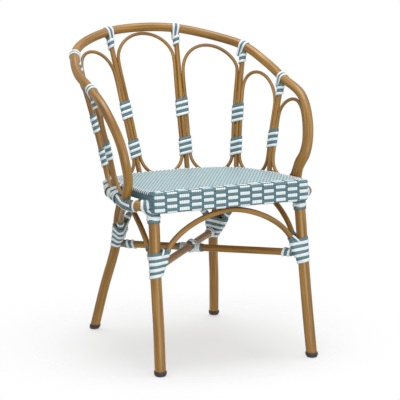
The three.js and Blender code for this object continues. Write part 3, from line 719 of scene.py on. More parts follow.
def tight_point(axis, rods, share):
    """The point at a share of the tight loop round some rods, the outward normal there and the axis"""
    out = across(HIDDEN, axis)
    sideways = np.cross(axis, out)
    origin = rods[0][0]
    centres = np.array([[(c - origin).dot(out), (c - origin).dot(sideways)] for c, _ in rods])
    radii = np.array([r for _, r in rods])
    best = np.argmax(LOOP_WAYS @ centres.T + radii, axis=1)
    outline = centres[best] + LOOP_WAYS * radii[best][:, None]
    lengths = lengths_of(outline)
    wanted = share * lengths[-1]
    point = [np.interp(wanted, lengths, outline[:, i]) for i in (0, 1)]
    normal = unit(np.array([np.interp(wanted, lengths, LOOP_WAYS[:, i]) for i in (0, 1)]))
    place = origin + out * point[0] + sideways * point[1]
    return place, out * normal[0] + sideways * normal[1], axis


STRIP_PROFILE = (-1, -0.85, -0.5, 0, 0.5, 0.85, 1)
STRIP_LIFT = 0.25


def strip_piece(name, rows, width, thickness, kind, replaced=(), lift=STRIP_LIFT, closed=False):
    """A crowned strip through rows of (point on the surface, outward normal, direction across it)"""
    vertices, uvs = [], []
    along = 0.0
    last = rows[0][0]
    total = len(rows) - 1
    for i, (point, normal, cross) in enumerate(rows):
        along += np.linalg.norm(point - last)
        last = point
        tuck = 1.0 if closed else min(1.0, min(i, total - i) / 3 + 0.15)
        for k in STRIP_PROFILE:
            height = lift + thickness * (0.3 + 0.7 * (1 - k ** 4)) * tuck
            vertices.append(point + cross * (k * width / 2) + normal * height)
            uvs.append(((k + 1) / 2, along * MM))
        for k in (1, -1):
            vertices.append(point + cross * (k * width / 2) - normal * 0.1)
            uvs.append(((k + 1) / 2, along * MM))
    size = len(STRIP_PROFILE) + 2
    faces = grid_faces(total + 1, size, closed=True)
    if not closed:
        faces.append(tuple(range(size))[::-1])
        faces.append(tuple(total * size + k for k in range(size)))
    make_piece(name, vertices, faces, uvs, f"{kind.split('_')[-1]}_strip", replaced)


def wind(name, frame_at, start, turns, strips, replaced=(), pitch=PITCH, per_turn=36):
    """Strips wound side by side. frame_at(length) gives the axis and the rods inside"""
    for order, (kind, offset) in enumerate(strips):
        rows = []
        for step in range(int(turns * per_turn) + 1):
            turn = step / per_turn
            axis, rods = frame_at(start + offset + pitch * turn)
            rows.append(tight_point(axis, rods, turn % 1.0))
        label = f"{name}_{kind}" if len(strips) < 3 else f"{name}_{kind}_{order}"
        strip_piece(label, rows, *STRIPS[kind], kind, replaced if order == 0 else ())


RING_STEPS = 48


def ring_strip(name, axis, rods, kind, shift_at, replaced=()):
    """A closed strip round some rods. shift_at(place) gives its shift along the axis and share of width"""
    rows = []
    for step in range(RING_STEPS + 1):
        place, normal, _ = tight_point(axis, rods, (step / RING_STEPS) % 1.0)
        shift, size = shift_at(place)
        rows.append((place + axis * shift, normal, axis * size))
    strip_piece(name, rows, *STRIPS[kind], kind, replaced, closed=True)


def fixed(shift=0, size=1):
    """The same shift and share of the width all round"""
    return lambda place: (shift, size)


whole = fixed()
slim = fixed(size=0.7)


def on_axis(point, centre, axis):
    """The point moved along the axis until it is level with the centre"""
    return point + axis * (centre - point).dot(axis)


def band_frame(upright, loop_sides):
    """An upright with the loops on both its sides, each given by its bay and its side there"""
    length = upright.length()

    def frame_at(along):
        share = along / length
        centre = upright.at(share)
        axis = upright.tangent(share)
        places = [on_axis(bay.at(side, share), centre, axis) for bay, side in loop_sides]
        return axis, [(centre, UPRIGHT_RADIUS)] + [(place, LOOP_RADIUS) for place in places]

    return frame_at


def collar_frame(upright):
    """An upright alone, up to its top"""
    length = upright.length()

    def frame_at(along):
        share = min(1.0, along / length)
        return upright.tangent(share), [(upright.at(share), UPRIGHT_RADIUS + COLLAR_LIFT)]

    return frame_at


def tangent_by(rail, steps, side):
    return unit(rail.by(steps + 0.05, side) - rail.by(steps - 0.05, side)) * side


LASHING_SPREAD = 6.4
LASHING_PINCH = 0.3
LASHING_SIZE = 0.85
LASHING_DROP = 27
LASHING_LOW_RADIUS = 4.5


def add_lashing(name, upright, steps, side):
    """Three strips side by side over the hoop, pinched together round the upright under it"""
    axis = tangent_by(hoop, steps, side)
    first = hoop.by(steps, side)
    low = upright.at(upright.share_at(upright.length() - LASHING_DROP))
    second = on_axis(low, first, axis)
    rods = [(first, HOOP_CANE_RADIUS), (second, LASHING_LOW_RADIUS)]
    reach = np.linalg.norm(second - first)
    away = (second - first) / reach
    for order, kind in enumerate(("white", "teal", "white")):

        def shift_at(point, spread=(order - 1) * LASHING_SPREAD):
            low = min(1, max(0, (point - first).dot(away) / reach))
            return spread * (1 - LASHING_PINCH * low), LASHING_SIZE * (1 - LASHING_PINCH * low * 0.8)

        ring_strip(f"{name}_{order}", axis, rods, kind, shift_at)


COLLAR_LIFT = 0.8
COLLAR_GAP = 6
COLLAR_TURNS = 2
BAND_TURNS = 3
BAND_START = 1.75 * PITCH
for name, side in SIDES:
    neighbours = {
        "back": ((bays["centre"], side), (bays[f"back_{name}"], -1)),
        "outer": ((bays[f"back_{name}"], 1), (bays[f"outer_{name}"], -1)),
        "side": ((bays[f"outer_{name}"], 1), (bays[f"arm_{name}"], -1)),
    }
    for kind, loop_sides in neighbours.items():
        upright = uprights[f"{kind}_{name}"]
        length = upright.length()
        for share, place in zip(BANDED_SHARES[kind], ("upper", "lower")):
            node = f"band_{kind}_{name}_{place}"
            start = share * length - BAND_START
            wind(node, band_frame(upright, loop_sides), start, BAND_TURNS, BOTH, (node,))
        node = f"collar_{kind}_{name}"
        start = length - HOOP_RADIUS - COLLAR_GAP - COLLAR_TURNS * PITCH
        wind(node, collar_frame(upright), start, COLLAR_TURNS, BOTH, (node,))
        add_lashing(f"hoop_lashing_{kind}_{name}", upright, UPRIGHT_STEPS[kind], side)


# Rods
class Part(Curve):
    """The part of a curve from its start to a share of it"""

    def __init__(self, whole_curve, end):
        self.whole_curve = whole_curve
        self.end = end

    def at(self, t):
        return self.whole_curve.at(t * self.end)


tube("seat_ring_rod", ring, RING_RADIUS, "seat_ring", spacing=10)
tube("hoop_rod", hoop, HOOP_CANE_RADIUS, "hoop_rail", spacing=9, sides=24)
for key, curve in uprights.items():
    tube(f"upright_rod_{key}", curve, UPRIGHT_RADIUS, f"upright_{key}", spacing=12, sides=16)
for key, curve in loops.items():
    tube(f"loop_cane_{key}", curve, LOOP_RADIUS, f"loop_{key}", spacing=7, sides=12)
LEG_END_HEIGHT = 5.5
for key, (curve, radius) in legs.items():
    half = len(curve.shares) // 2
    heights = curve.samples()[0][half:, 2]
    end = float(np.interp(-LEG_END_HEIGHT, -heights, curve.shares[half:]))
    tube(f"leg_rod_{key}", Part(curve, end), radius, f"leg_{key}", spacing=9, sides=24)
for key, curve in stretchers.items():
    tube(f"stretcher_rod_{key}", curve, STRETCHER_RADIUS, f"stretcher_{key}", spacing=15)
for key, curve in arches.items():
    tube(f"arch_rod_{key}", curve, ARCH_RADIUS, f"brace_arch_{key}", spacing=8, sides=16)

# A foot cap's side and underside, as heights over the floor with insets from its wall
CAP_SIDE = (
    (CAP_HEIGHT, 0.5), (CAP_HEIGHT - 0.6, 0), (CAP_HEIGHT - 3, 0), (8, 0.1), (5.5, 0.6), (3.4, 1.6),
    (1.6, 3.0), (0.5, 4.8), (0, 6.6), (0, 9),
)


def make_cap(name, curve, radius):
    """A moulded cap with rounded edges under a leg"""
    profile = [(CAP_HEIGHT - 1.5, radius - 0.3), (CAP_HEIGHT, radius + 0.5)]
    profile += [(height, radius + CAP_WALL - inset) for height, inset in CAP_SIDE] + [(0, 0.1)]
    sides = 28
    vertices, uvs = [], []
    for height, size in profile:
        centre = curve.at_height(max(height, 0.01))
        for k in range(sides):
            angle = 2 * math.pi * k / sides
            vertices.append((centre[0] + size * math.cos(angle), centre[1] + size * math.sin(angle), height))
            uvs.append((k / sides, height * MM))
    faces = grid_faces(len(profile), sides, closed=True, flipped=True)
    faces.append(tuple(len(profile) * sides - sides + k for k in range(sides))[::-1])
    make_piece(f"foot_cap_moulded_{name}", vertices, faces, uvs, "foot_cap", (f"foot_cap_{name}",))


for key, (curve, radius) in legs.items():
    make_cap(key, curve, radius)


# Seat
QUARTER = [math.pi / 2 * k / 8 for k in range(9)]
SEAT_EDGE = 6.0
TOP_DROP = 1.2
TOP_CROWN = 1.6
TOP_SHARES = (0.97, 0.9, 0.8, 0.65, 0.5, 0.3, 0.12, 0.0)

# The cover's underside and side, as insets from the outline with heights over the seat's top
COVER_SIDE = (
    (7.0, -SEAT_STACK + 0.2), (1.5, -SEAT_STACK), (0.4, -SEAT_STACK + 1.0), (0.0, -SEAT_STACK + 3),
    (0.0, -15.0), (0.0, -10.0),
)


def spline_through(points, per_span):
    """A uniform Catmull-Rom line in the plane"""
    p = [np.array(q, float) for q in points]
    line = []
    for i in range(len(p) - 1):
        p0, p1, p2, p3 = p[max(i - 1, 0)], p[i], p[i + 1], p[min(i + 2, len(p) - 1)]
        for k in range(per_span):
            t = k / per_span
            v0, v1 = (p2 - p0) / 2, (p3 - p1) / 2
            cubic = (2 * p1 - 2 * p2 + v0 + v1) * t ** 3
            line.append(cubic + (-3 * p1 + 3 * p2 - 2 * v0 - v1) * t ** 2 + v0 * t + p1)
    return line


def seat_outline(count):
    """Even points round the seat from the middle of its front to the right, and the ways inward there"""
    half = SEAT_HALF_WIDTH
    corner = SEAT_CORNER

    def rounding(sign, first):
        for turn in QUARTER:
            x = sign * (half - corner) + corner * math.cos(first + turn)
            line.append(np.array((x, corner + corner * math.sin(first + turn))))

    line = [np.array((0.0, 0.0))]
    rounding(1, -math.pi / 2)
    right = [(x * half, y * SEAT_DEPTH) for x, y in SEAT_SIDE_SHARES]
    left = [(-x, y) for x, y in right[-2::-1]]
    line += spline_through([(half, corner)] + right + left + [(-half, corner)], 10)[1:]
    rounding(-1, math.pi)
    line = np.array(line + [np.array((0.0, 0.0))])
    lengths = lengths_of(line)
    wanted = np.arange(count) / count * lengths[-1]
    outline = np.stack([np.interp(wanted, lengths, line[:, i]) for i in (0, 1)], axis=1)
    following = np.roll(outline, -1, axis=0) - np.roll(outline, 1, axis=0)
    inward = np.stack([-following[:, 1], following[:, 0]], axis=1)
    return outline, inward / np.linalg.norm(inward, axis=1)[:, None]


def on_seat(x, y, z):
    """From the level seat, its front edge at the origin, to the tilted place"""
    c, s = math.cos(SEAT_TILT), math.sin(SEAT_TILT)
    return vec(x, -SEAT_FRONT + y * c + z * s, SEAT_HEIGHT - y * s + z * c)


def make_seat_cover():
    count = 360
    outline, inward = seat_outline(count)
    rows = list(COVER_SIDE)
    for k in range(7):
        angle = math.pi / 2 * k / 6
        rows.append((SEAT_EDGE * (1 - math.cos(angle)), SEAT_EDGE * (math.sin(angle) - 1) - TOP_DROP))
    vertices, uvs = [], []

    def add_row(points, height):
        for x, y in points:
            vertices.append(on_seat(x, y, height))
            uvs.append((x * MM, y * MM))

    for inset, height in rows:
        add_row(outline + inward * inset, height)
    middle = np.array((0.0, SEAT_DEPTH * 0.5))
    inner = outline + inward * SEAT_EDGE
    for share in TOP_SHARES:
        add_row(middle + (inner - middle) * share, -TOP_DROP + TOP_CROWN * (1 - share ** 3))
    faces = grid_faces(len(rows) + len(TOP_SHARES), count, closed=True)
    make_piece("seat_cover", vertices, faces, uvs, "seat_weave", ("seat_weave",))


FINE = 2880
EDGE_LINE, EDGE_INWARD = seat_outline(FINE)
EDGE_LENGTH = float(lengths_of(EDGE_LINE)[-1])
STRAND_SIDES = (-1, -0.75, 0, 0.75, 1)
STRAND_STEPS = 10


def over_edge(point, inward, along, lift):
    """A point over the seat's edge. along is measured from the rounding's top, down the side"""
    bend = SEAT_EDGE * math.pi / 2
    angle = min(max(along, 0), bend) / SEAT_EDGE
    inset = SEAT_EDGE * (1 - math.sin(angle)) + max(0, -along) - lift * math.sin(angle)
    height = SEAT_EDGE * (math.cos(angle) - 1) - TOP_DROP - max(0, along - bend) + lift * math.cos(angle)
    x, y = point + inward * inset
    return on_seat(x, y, height)


def make_edge_strands(name, pitch, first, half_width, begin, end, lift, slot):
    """Short strips over the seat's edge, side by side along both its sides to near the middle of the back"""
    start = SEAT_HALF_WIDTH - SEAT_CORNER + SEAT_CORNER * math.pi / 2 + first
    count = int((EDGE_LENGTH - 2 * start) / pitch)
    per_length = FINE / EDGE_LENGTH * FINE / (FINE + 1)
    vertices, uvs, faces = [], [], []
    for order in range(count + 1):
        place = start + pitch * order
        faces += grid_faces(STRAND_STEPS + 1, len(STRAND_SIDES), flipped=True, start=len(vertices))
        for i in range(STRAND_STEPS + 1):
            along = begin + (end - begin) * i / STRAND_STEPS
            rise = lift * min(1, 4 * min(i, STRAND_STEPS - i) / STRAND_STEPS) - 0.1
            for side in STRAND_SIDES:
                k = int(round((place + side * half_width) * per_length)) % FINE
                crown = 0.5 * abs(side) ** 3 * min(1, lift)
                vertices.append(over_edge(EDGE_LINE[k], EDGE_INWARD[k], along, rise - crown))
                uvs.append(((side + 1) / 2, along * MM))
    make_piece(name, vertices, faces, uvs, slot)


make_seat_cover()
make_edge_strands("seat_side_strips", 8.2, 14, 4.0, 1.5, 26.5, 0.9, "teal_strip")
make_edge_strands("seat_edge_strands", 11.6, 22, 2.7, -7, 12, 1.8, "white_strip")


# Front band
BAND_TOP_REACH = 34.0
BAND_TOP_DROP = 0.6
BAND_TOP_BEND = 7.0
BAND_BOTTOM_BEND = 5.0
BAND_TOP_STEPS = 12
STRIP_COUNT = 7
TOP_STRIPS = 2
STRIP_GAP = 0.3
STRIP_THICKNESS = 0.8
STRIP_SINK = 0.2
CORE_SINK = 0.4
CORE_START = -20
FIRST_WHITE = 1.6
COLUMN_COUNT = 13
BLOCK_STRANDS = 5
BLOCK_REACH = 4.9


def band_profile():
    """The front band from the top, over the front and under, as (depth, height) in small steps"""
    drop, top, bottom, steps = BAND_TOP_DROP, BAND_TOP_BEND, BAND_BOTTOM_BEND, BAND_TOP_STEPS
    level = BAND_TOP_REACH - top
    line = [(BAND_TOP_REACH - level * k / steps, -drop * k / steps) for k in range(steps)]
    for angle in QUARTER:
        line.append((top - top * math.sin(angle), -drop - (top - drop) * (1 - math.cos(angle))))
    line += [(0.0, -top - (BAND_HEIGHT - top - bottom) * k / 10) for k in range(1, 11)]
    for angle in QUARTER[1:]:
        line.append((bottom * (1 - math.cos(angle)), -BAND_HEIGHT + bottom * (1 - math.sin(angle))))
    return np.array(line + [(BAND_DEPTH, -BAND_HEIGHT)], float)


PROFILE_LINE = band_profile()
PROFILE_LENGTHS = lengths_of(PROFILE_LINE)
FACE_START = float(PROFILE_LENGTHS[BAND_TOP_STEPS - 1])
BAND_HALF = SEAT_HALF_WIDTH - SEAT_CORNER
CORNER_LENGTH = SEAT_CORNER * math.pi / 2
BAND_REACH = BAND_HALF + CORNER_LENGTH + BAND_DEPTH - SEAT_CORNER


def on_band(x, along, lift):
    """A point on the front band: x runs round its corners, along down over the front"""
    wanted = FACE_START + along
    here, ahead, back = (
        np.array([np.interp(wanted + step, PROFILE_LENGTHS, PROFILE_LINE[:, i]) for i in (0, 1)])
        for step in (0, 0.5, -0.5)
    )
    direction = (ahead - back) / np.linalg.norm(ahead - back)
    normal = np.array((direction[1], -direction[0]))
    depth = here[0] + normal[0] * lift
    reach = max(0.0, abs(x) - BAND_HALF)
    angle = min(reach / SEAT_CORNER, math.pi / 2)
    beyond = max(0.0, reach - CORNER_LENGTH)
    inner = SEAT_CORNER - (depth if reach == 0 else min(depth, SEAT_CORNER - 1))
    sign = 1 if x >= 0 else -1
    px = sign * (min(abs(x), BAND_HALF) + inner * math.sin(angle))
    y = SEAT_CORNER - inner * math.cos(angle) + beyond
    return on_seat(px, y, here[1] + normal[1] * lift)


def make_front_strips():
    """Flat strips over the front band, one above the other. The top ones end before its corners"""
    steps = 110
    for order in range(STRIP_COUNT + TOP_STRIPS):
        along = FIRST_WHITE + ROW * (order - TOP_STRIPS)
        reach = BAND_HALF if order < TOP_STRIPS else BAND_REACH
        rows = []
        for step in range(steps + 1):
            x = reach * (2 * step / steps - 1)
            point = on_band(x, along, 0.0)
            normal = unit(on_band(x, along, 1.0) - point)
            cross = unit(on_band(x, along - 1, 0.0) - point)
            rows.append((point, normal, cross))
        label = f"front_strip_{order}_teal"
        strip_piece(label, rows, ROW - STRIP_GAP, STRIP_THICKNESS, "teal", lift=-STRIP_SINK)


def make_blocks():
    """White strands that pass over every second strip, stepped from column to column"""
    vertices, uvs, faces = [], [], []
    strand = BLOCK / BLOCK_STRANDS
    sides = (-1, -0.7, 0, 0.7, 1)
    for column in range(COLUMN_COUNT):
        left = (column - COLUMN_COUNT // 2) * COLUMN - BLOCK / 2
        for row in range(-TOP_STRIPS + column % 2, STRIP_COUNT + 1, 2):
            for k in range(BLOCK_STRANDS):
                centre = left + strand * k + strand / 2
                faces += grid_faces(9, len(sides), flipped=True, start=len(vertices))
                for t in np.linspace(-1, 1, 9):
                    along = FIRST_WHITE + row * ROW + t * BLOCK_REACH
                    lift = 1 - 1.7 * t ** 6
                    for side in sides:
                        crown = 0.35 * side ** 4 + 0.1 * side * side
                        vertices.append(on_band(centre + side * strand * 0.49, along, lift - crown))
                        uvs.append((0.5 + side * 0.44, along * MM))
    make_piece("front_white_strands", vertices, faces, uvs, "white_strip")


def make_band_body():
    """The closed body under the strips, from one end of the band to the other"""
    vertices, uvs = [], []
    columns = 90
    samples = np.linspace(CORE_START, float(PROFILE_LENGTHS[-1]) - FACE_START, 46)
    for i in range(columns + 1):
        x = BAND_REACH * (2 * i / columns - 1)
        for along in samples:
            vertices.append(on_band(x, along, -CORE_SINK))
            uvs.append((0.5, x * MM))
    height = len(samples)
    faces = grid_faces(columns + 1, height)
    faces.append(tuple(range(height))[::-1])
    faces.append(tuple(columns * height + k for k in range(height)))
    make_piece("front_band_core", vertices, faces, uvs, "teal_strip")


make_band_body()
make_front_strips()
make_blocks()


# Lashings of the legs
JOINT_DEPTH = 45.4
JOINT_BOTTOM = ARCH_FOOT_HEIGHT - JOINT_DEPTH
JOINT_TURNS = 4
JOINT_STRIPS = [("wide_white" if kind == "white" else kind, away) for kind, away in BOTH]
ARCHES_AT = {
    "front_left": ("front", "left"),
    "front_right": ("front", "right"),
    "back_left": ("back", "left"),
    "back_right": ("back", "right"),
}

# Rings on the arches: length from the foot, kind and how far they stand off the rod
ARCH_END_RING = (23, "teal", 0.6)
BACK_FOOT_RINGS = ((31, "white", 0), (38.5, "teal", 0))


def starts_at(arch, leg_name):
    """True for an arch whose first end is the one beside that leg"""
    anchor = leg_axis(leg_name, ARCH_FOOT_HEIGHT)
    return np.linalg.norm(arch.at(0) - anchor) < np.linalg.norm(arch.at(1) - anchor)


def joint_frame(leg_name):
    """The leg and the two arch ends beside it, at a height"""
    curve, radius = legs[leg_name]
    anchor = leg_axis(leg_name, ARCH_FOOT_HEIGHT)
    near = [arches[arch_name] for arch_name in ARCHES_AT[leg_name]]
    feet = [arch if starts_at(arch, leg_name) else Smooth(arch.points[::-1]) for arch in near]

    def frame_at(height):
        centre = curve.at_height(height)
        axis = unit(curve.at_height(height + 1) - centre)
        rods = [(centre, radius)]
        for arch in feet:
            foot = arch.at(0)
            if height >= ARCH_FOOT_HEIGHT:
                place = arch.at_height(height)
            else:
                share = max(0, (height - JOINT_BOTTOM) / JOINT_DEPTH)
                gap = np.linalg.norm(foot - anchor) - radius - ARCH_RADIUS
                reach = (radius - ARCH_RADIUS) + (2 * ARCH_RADIUS + gap) * share
                place = centre + unit(foot - anchor) * reach
            rods.append((on_axis(place, centre, axis), ARCH_RADIUS))
        return axis, rods

    return frame_at


def add_arch_ring(name, arch, leg_name, along, kind, lift):
    """A closed strip round an arch, at a length from its foot beside a leg"""
    share = arch.share_at(along if starts_at(arch, leg_name) else arch.length() - along)
    ring_strip(name, arch.tangent(share), [(arch.at(share), ARCH_RADIUS + lift)], kind, whole)


for leg_name, arch_names in ARCHES_AT.items():
    node = f"joint_knot_{leg_name}"
    frame_at = joint_frame(leg_name)
    wind(f"joint_wrap_{leg_name}", frame_at, JOINT_BOTTOM, JOINT_TURNS, JOINT_STRIPS, (node,), per_turn=44)
    for arch_name in arch_names:
        label = f"{leg_name}_{arch_name}"
        add_arch_ring(f"arch_end_ring_{label}", arches[arch_name], leg_name, *ARCH_END_RING)
        for order, rest in enumerate(BACK_FOOT_RINGS if leg_name.startswith("back") else ()):
            add_arch_ring(f"arch_foot_ring_{label}_{order}", arches[arch_name], leg_name, *rest)

FACING = unit(vec(-0.35, -1, 0.1))
JOINT_STRAND_HEIGHTS = (9, 27)
JOINT_STRAND_SHARE = 0.64
JOINT_STRAND_OUT = 13
JOINT_STRAND_BOW = 4
JOINT_STRAND_SIZE = (5, 1.6)
RIGHT_STRAND_LEAN = 14
RIGHT_STRAND_RISE = 3


def strip_along(name, path, lean_at, steps, width, thickness, kind, replaced=()):
    """A strip along a path, its face turned towards lean_at(share)"""
    rows = []
    for step in range(steps + 1):
        share = step / steps
        along = path.tangent(share)
        normal = across(lean_at(share), along)
        rows.append((path.at(share), normal, np.cross(along, normal)))
    strip_piece(name, rows, width, thickness, kind, replaced)


for name, side in SIDES:
    leg_curve, _ = legs[f"front_{name}"]
    half = arches["front"] if side < 0 else Smooth(arches["front"].points[::-1])
    low, high = (ARCH_FOOT_HEIGHT + height for height in JOINT_STRAND_HEIGHTS)
    points = []
    for share in (0, 0.25, 0.5, 0.75, 1):
        height = low + (high - low) * share
        leg_point, arch_point = leg_curve.at_height(height), half.at_height(height)
        between = leg_point + (arch_point - leg_point) * JOINT_STRAND_SHARE
        point = between + FACING * (JOINT_STRAND_OUT + JOINT_STRAND_BOW * math.sin(math.pi * share))
        if side > 0:
            point += vec(RIGHT_STRAND_LEAN * (0.5 - share), 0, RIGHT_STRAND_RISE)
        points.append(point)
    strip_along(f"joint_strand_{name}", Smooth(points), lambda share: FACING, 12, *JOINT_STRAND_SIZE, "white")


def rod_frame(curve, radius, from_end=False):
    def frame_at(along):
        share = curve.share_at(curve.length() - along if from_end else along)
        return curve.tangent(share), [(curve.at(share), radius)]

    return frame_at


STRETCHER_ENDS = {"upper": ("front_left", "back_right"), "lower": ("back_left", "front_right")}
STRETCHER_WRAP_START = 21
STRETCHER_WRAP_TURNS = 2
TEAL_FIRST = [("teal", 0.0), ("white", PITCH / 2)]
for key, ends in STRETCHER_ENDS.items():
    for end, leg_name in enumerate(ends):
        frame_at = rod_frame(stretchers[key], STRETCHER_RADIUS, from_end=end == 1)
        node = f"stretcher_wrap_{leg_name}"
        wind(node, frame_at, STRETCHER_WRAP_START, STRETCHER_WRAP_TURNS, TEAL_FIRST, (node,))

# Crossing of the two rods under the seat
CROSSING_SLOPE = 0.8
CROSSING_LIFT = 3
CROSSING_SPREAD = 6.5
CROSSING_SIZE = 0.8
CROSSING_RINGS = {
    "lower": ((-17, "white"), (-24, "white"), (-31, "teal"), (17, "white"), (24, "white"), (31, "teal")),
    "upper": ((-15, "teal"), (14, "white"), (21, "teal")),
}
middles = {"upper": upper_middle, "lower": lower_middle}
level = unit(stretchers["upper"].tangent(0.5) + stretchers["lower"].tangent(0.5))
for order, tilt in enumerate((-1, 1)):
    axis = unit(level + UP * CROSSING_SLOPE * tilt)
    places = [on_axis(centre, upper_middle, axis) for centre in middles.values()]
    rods = [(place, STRETCHER_RADIUS + CROSSING_LIFT) for place in places]
    ring_strip(f"crossing_band_{order}", axis, rods, "teal", slim, ("crossing_knot",) if order == 0 else ())
    for beside, away in enumerate((-CROSSING_SPREAD, CROSSING_SPREAD)):
        ring_strip(f"crossing_band_{order}_{beside}", axis, rods, "white", fixed(away, CROSSING_SIZE))
for key, places in CROSSING_RINGS.items():
    curve = stretchers[key]
    middle = np.linalg.norm(middles[key] - curve.at(0))
    for order, (away, kind) in enumerate(places):
        share = curve.share_at(middle + away)
        rods = [(curve.at(share), STRETCHER_RADIUS)]
        ring_strip(f"crossing_ring_{key}_{order}", curve.tangent(share), rods, kind, whole)


# Lashings of the seat ring. Places along it are given in steps from the middle of its back
FOOT_WRAPS = (("outer", OUTER_STEPS, 13.5), ("side", SIDE_STEPS, 15))
FOOT_WRAP_HEIGHT = 34
FOOT_WRAP_REACH = 0.42
BACK_WRAP_STEPS = 3.75
BACK_WRAP_TURNS = 3.5
SIDE_WRAP_START = 14
SIDE_WRAP_TURNS = 2.7
SIDE_WRAP_STRIPS = [("wide_teal", 0.0), ("wide_teal", PITCH), ("wide_teal", 2 * PITCH)]
RING_END_STEPS = 7.9
RING_LINES = (("upper", 5.4, 7.7, (52, 6)), ("lower", 5.4, RING_END_STEPS, (-42, -80)))
RING_LINE_SIZE = (6.5, 2.2)
CORNER_SWEEPS = (("white", 8.42, 386), ("teal", 8.58, 393), ("white", 8.74, 400))
SWEEP_SIZE = (7.6, 1.8)
SWEEP_RING_LIFT = 1.5
SWEEP_LEG_LIFT = 2.2
LEG_HEAD_RINGS = ((378, "teal"), (385.5, "white"), (393, "teal"))
LEG_HEAD_LIFT = 0.8
ARCH_TOP_START = 14
ARCH_TOP_TURNS = 3
ARCH_TOP_PITCH = 8.6

# The course of a corner sweep: degrees round the ring, then degrees round the leg with heights
SWEEP_OVER_RING = (150, 100, 60, 20, -15)
SWEEP_ROUND_LEG = ((175, 10), (215, 5), (255, 1), (295, 0), (340, 3), (385, 8))


def ring_stretch(side, from_steps):
    begin = ring.length_to(ring.place(from_steps, side))

    def frame_at(along):
        share = ring.share_at(begin + side * along)
        return ring.tangent(share) * side, [(ring.at(share), RING_RADIUS)]

    return frame_at


def ring_frame(steps, side):
    """A point of the ring, its axis there, and a function for the way out at an angle above level"""
    centre = ring.by(steps, side)
    axis = tangent_by(ring, steps, side)
    outward = across(vec(centre[0], centre[1], 0), axis)
    upward = across(UP, axis)

    def way_at(degrees):
        angle = math.radians(degrees)
        return outward * math.cos(angle) + upward * math.sin(angle)

    return centre, axis, way_at


def add_ring_line(name, side, from_steps, to_steps, angles):
    """A white strip along the ring, its place round the rod given by angles above level at its ends"""
    rows = []
    count = 30
    for step in range(count + 1):
        share = step / count
        centre, axis, way_at = ring_frame(from_steps + (to_steps - from_steps) * share, side)
        normal = way_at(angles[0] + (angles[1] - angles[0]) * share)
        rows.append((centre + normal * (RING_RADIUS + 1.0), normal, np.cross(axis, normal)))
    strip_piece(name, rows, *RING_LINE_SIZE, "white")


def add_corner_sweep(name, side, steps, low, leg, kind, replaced):
    """A strip from over the ring beside its corner, down and round the front of the leg"""
    leg_curve, leg_radius = leg
    centre, _, way_at = ring_frame(steps, side)
    normals = [way_at(degrees) for degrees in SWEEP_OVER_RING]
    points = [centre + normal * (RING_RADIUS + SWEEP_RING_LIFT) for normal in normals]
    for degrees, above in SWEEP_ROUND_LEG:
        angle = math.radians(degrees)
        normals.append(vec(-side * math.cos(angle), math.sin(angle), 0))
        points.append(leg_curve.at_height(low + above) + normals[-1] * (leg_radius + SWEEP_LEG_LIFT))
    strip_along(name, Smooth(points), Smooth(normals).at, 48, *SWEEP_SIZE, kind, replaced)


for name, side in SIDES:
    for kind, steps, radius in FOOT_WRAPS:
        bend = ring.by(steps, side)
        top = uprights[f"{kind}_{name}"].at_height(bend[2] + FOOT_WRAP_HEIGHT)
        turn = Bent(top, bend, ring.by(steps + FOOT_WRAP_REACH, side))
        frame_at = rod_frame(turn, radius)
        wind(f"upright_foot_wrap_{kind}_{name}", frame_at, 0, int(turn.length() / PITCH), BOTH[::-1])
    wind(f"ring_wrap_back_{name}", ring_stretch(side, BACK_WRAP_STEPS), 0, BACK_WRAP_TURNS, BOTH[::-1])
    node = f"ring_wrap_{name}"
    frame_at = ring_stretch(side, SIDE_STEPS)
    wind(node, frame_at, SIDE_WRAP_START, SIDE_WRAP_TURNS, SIDE_WRAP_STRIPS, (node,), pitch=3 * PITCH)
    for place, from_steps, to_steps, angles in RING_LINES:
        add_ring_line(f"ring_{place}_line_{name}", side, from_steps, to_steps, angles)
    centre, axis, _ = ring_frame(RING_END_STEPS, side)
    ring_strip(f"ring_end_ring_{name}", axis, [(centre, RING_RADIUS)], "white", slim)

    leg_curve, leg_radius = legs[f"front_{name}"]
    for order, (kind, steps, low) in enumerate(CORNER_SWEEPS):
        label = f"corner_wrap_{name}_{order}"
        node = (f"corner_knot_{name}",) if order == 0 else ()
        add_corner_sweep(label, side, steps, low, legs[f"front_{name}"], kind, node)
    for order, (height, kind) in enumerate(LEG_HEAD_RINGS):
        centre = leg_curve.at_height(height)
        up_leg = unit(leg_curve.at_height(height + 1) - centre)
        rods = [(centre, leg_radius + LEG_HEAD_LIFT)]
        ring_strip(f"leg_head_ring_{name}_{order}", up_leg, rods, kind, whole)

    start = arches[name].length() / 2 - ARCH_TOP_START
    frame_at = rod_frame(arches[name], ARCH_RADIUS)
    wind(f"side_arch_wrap_{name}", frame_at, start, ARCH_TOP_TURNS, [("white", 0.0)], pitch=ARCH_TOP_PITCH)

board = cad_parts["seat_board"]
board.data.materials.clear()
board.data.materials.append(make_board())


# Stage, light and camera
FLOOR_SIZE = 4.0
FLOOR_FADE = (0.2, 0.68)
AMBIENT = 0.62

# Each light's name, place, target, size in metres and power in watts
LIGHTS = (
    ("key", (-1.8, -2.2, 2.6), (0, 0, 0.4), 2.0, 22),
    ("fill", (2.8, -1.8, 1.6), (0, 0, 0.4), 2.5, 20),
    ("top", (0.2, 0.3, 3.2), (0, 0, 0.2), 2.2, 56),
    ("low", (-0.2, -2.2, 0.45), (0, 0, 0.3), 0.8, 12),
)


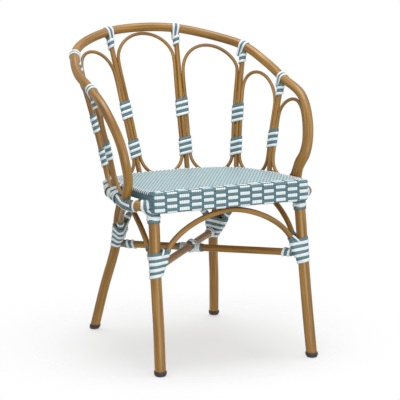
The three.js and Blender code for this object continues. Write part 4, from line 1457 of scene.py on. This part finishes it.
def make_floor():
    """A white floor that fades out into the backdrop round the chair"""
    mesh = bpy.data.meshes.new("floor")
    corners = [(x * FLOOR_SIZE, y * FLOOR_SIZE, 0) for x, y in ((-1, -1), (1, -1), (1, 1), (-1, 1))]
    mesh.from_pydata(corners, [], [(0, 1, 2, 3)])
    n = new_material("floor_white")
    mesh.materials.append(n.finish((0.78, 0.78, 0.785, 1.0), 0.9))
    far = n.add("ShaderNodeVectorMath", {0: n.place()}, operation="LENGTH").outputs["Value"]
    steps = {"Value": far, "From Min": FLOOR_FADE[0], "From Max": FLOOR_FADE[1], "To Min": 0.5}
    fade = n.add("ShaderNodeMapRange", steps, interpolation_type="SMOOTHSTEP").outputs[0]
    solid = n.tree.nodes["Principled BSDF"].outputs[0]
    clear = n.add("ShaderNodeBsdfTransparent").outputs[0]
    blend = n.add("ShaderNodeMixShader", {0: fade, 1: solid, 2: clear})
    n.link(blend.outputs[0], n.tree.nodes["Material Output"].inputs[0])
    floor = bpy.data.objects.new("floor", mesh)
    bpy.context.scene.collection.objects.link(floor)


def make_world():
    """Soft light from all round, before a white backdrop"""
    world = bpy.data.worlds.new("studio")
    bpy.context.scene.world = world
    n = Nodes(world)
    n.tree.nodes.clear()
    camera_ray = n.add("ShaderNodeLightPath").outputs["Is Camera Ray"]
    ambient = n.add("ShaderNodeBackground", {0: (1, 1, 1, 1), 1: AMBIENT}).outputs[0]
    backdrop = n.add("ShaderNodeBackground", {0: (1, 1, 1, 1), 1: 1.0}).outputs[0]
    mix = n.add("ShaderNodeMixShader", {0: camera_ray, 1: ambient, 2: backdrop})
    n.link(mix.outputs[0], n.add("ShaderNodeOutputWorld").inputs[0])


def area_light(name, place, target, size, power):
    data = bpy.data.lights.new(name, "AREA")
    data.shape = "DISK"
    data.size = size
    data.energy = power
    light = bpy.data.objects.new(name, data)
    light.location = place
    light.rotation_euler = (Vector(target) - Vector(place)).to_track_quat("-Z", "Y").to_euler()
    bpy.context.scene.collection.objects.link(light)


make_floor()
make_world()
for light in LIGHTS:
    area_light(*light)

camera_data = bpy.data.cameras.new("camera")
camera_data.lens = 196.677
camera_data.sensor_width = 36
camera_data.clip_end = 50
camera = bpy.data.objects.new("camera", camera_data)
camera.location = (-2.3610, -5.0380, 1.4710)
camera.rotation_euler = (math.radians(90 - 11.16), 0, math.radians(-25.44))
bpy.context.scene.collection.objects.link(camera)
bpy.context.scene.camera = camera
bpy.context.scene.view_settings.view_transform = "Standard"
